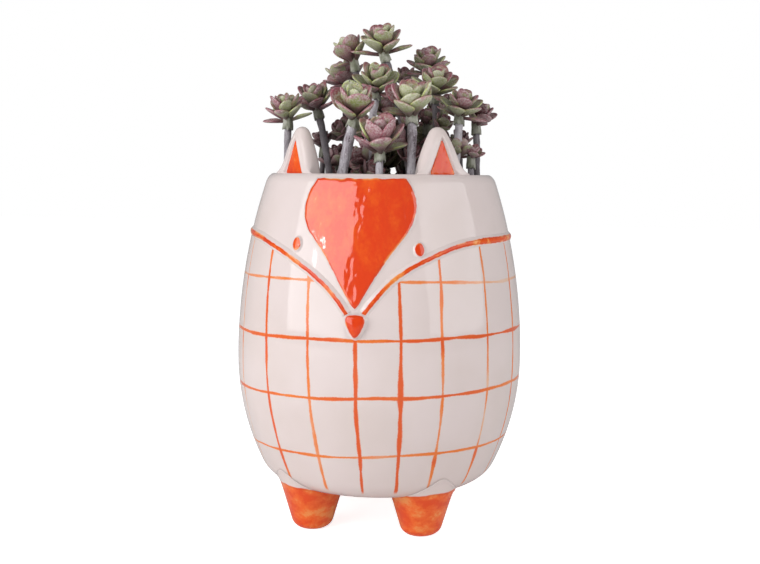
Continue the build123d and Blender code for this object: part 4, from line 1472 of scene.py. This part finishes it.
def make_floor():
    """A white floor that glows only to the camera, and keeps the object's shadow."""
    size = 3.0
    points = [(-size, -size, 0), (size, -size, 0), (size, size, 0), (-size, size, 0)]
    floor = mesh_object("floor", points, [(0, 1, 2, 3)])
    shader = Shader("floor_white")
    seen = shader.nodes.new("ShaderNodeLightPath").outputs["Is Camera Ray"]
    shader.finish((0.9, 0.9, 0.9, 1), 0.9, Emission_Color=(1, 1, 1, 1), Specular_IOR_Level=0.0)
    shader.put(shader.surface.inputs["Emission Strength"], shader.times(seen, FLOOR_GLOW))
    floor.data.materials.append(shader.material)


def make_stones(material):
    """Loose stones on the gravel layer, grown on a free copy of it."""
    host = placed("dressing_copy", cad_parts["dressing"].data.copy())
    stones = gravel_tree().grown(host, "loose_stones", Stone=material)
    bpy.data.objects.remove(host)
    return finish_piece(stones, "planting", "gravel", None)


def build():
    painted, plain = painted_glaze(), plain_glaze()
    blaze_skin = relief_glaze("blaze_glaze", (1.0, 1.0, 0.5), 0.25, 4.5)
    inner_skin = relief_glaze("inner_ear_glaze", (1.0, 1.0, 0.6), 0.38, 8.0, 1.5)
    brow_skin = relief_glaze("brow_glaze", (1.0, 1.0, 1.0), 0.33, 0.3, 1.42)
    small_skin = relief_glaze("nose_glaze", (1.0, 1.0, 0.6), 0.26, 0.2, 1.5)
    foot_skin, leaf_material, collar_material = foot_glaze(), leaf_skin(), collar_skin()
    bark_material, foam_material = bark_skin(), foam_skin()
    bed_material = gravel_skin("bed_skin", (0.10, 0.085, 0.07), (0.22, 0.19, 0.16))
    stone_material = gravel_skin("stone_skin", (0.24, 0.21, 0.18), (0.55, 0.51, 0.46))

    make_pot(painted)
    make_blaze(blaze_skin)
    make_nose(small_skin)
    make_brow(brow_skin)
    for side, side_name in ((-1, "left"), (1, "right")):
        make_eye(side, side_name, small_skin)
        make_ear(side, side_name, plain)
        make_inner_ear(side, side_name, inner_skin)
        for end, end_name in ((-1, "front"), (1, "rear")):
            make_foot(side, end, f"foot_{end_name}_{side_name}", foot_skin)

    cad_material("foam_plug", foam_material)
    cad_material("dressing", bed_material)
    make_stones(stone_material)

    bark_growth = bark_tree()
    leaf = make_leaf()
    rosette_growth = rosette_tree(leaf)
    for index, (name, plant) in enumerate(PLANTS.items()):
        make_stem(name, plant, bark_growth, bark_material, index)
        piece = make_head(name, plant, rosette_growth, leaf, leaf_material, collar_material, index)
        finish_piece(piece, "planting", "succulent", None, "head_" + name)
    for index, name in enumerate(SHOOTS):
        make_shoots(name, rosette_growth, leaf, leaf_material, index)
    bpy.data.objects.remove(leaf)


make_camera()
make_world()
make_floor()
area_lamp("left_soft_box", -51, 18, 1.0, 0.98, 0.76, 3.8)
area_lamp("right_soft_box", 64, 18, 1.0, 0.98, 0.74, 2.2)
area_lamp("spark", -55.4, 15.1, 0.98, 0.05, 0.05, 22.0)
build()
bpy.context.scene.view_settings.view_transform = "Standard"
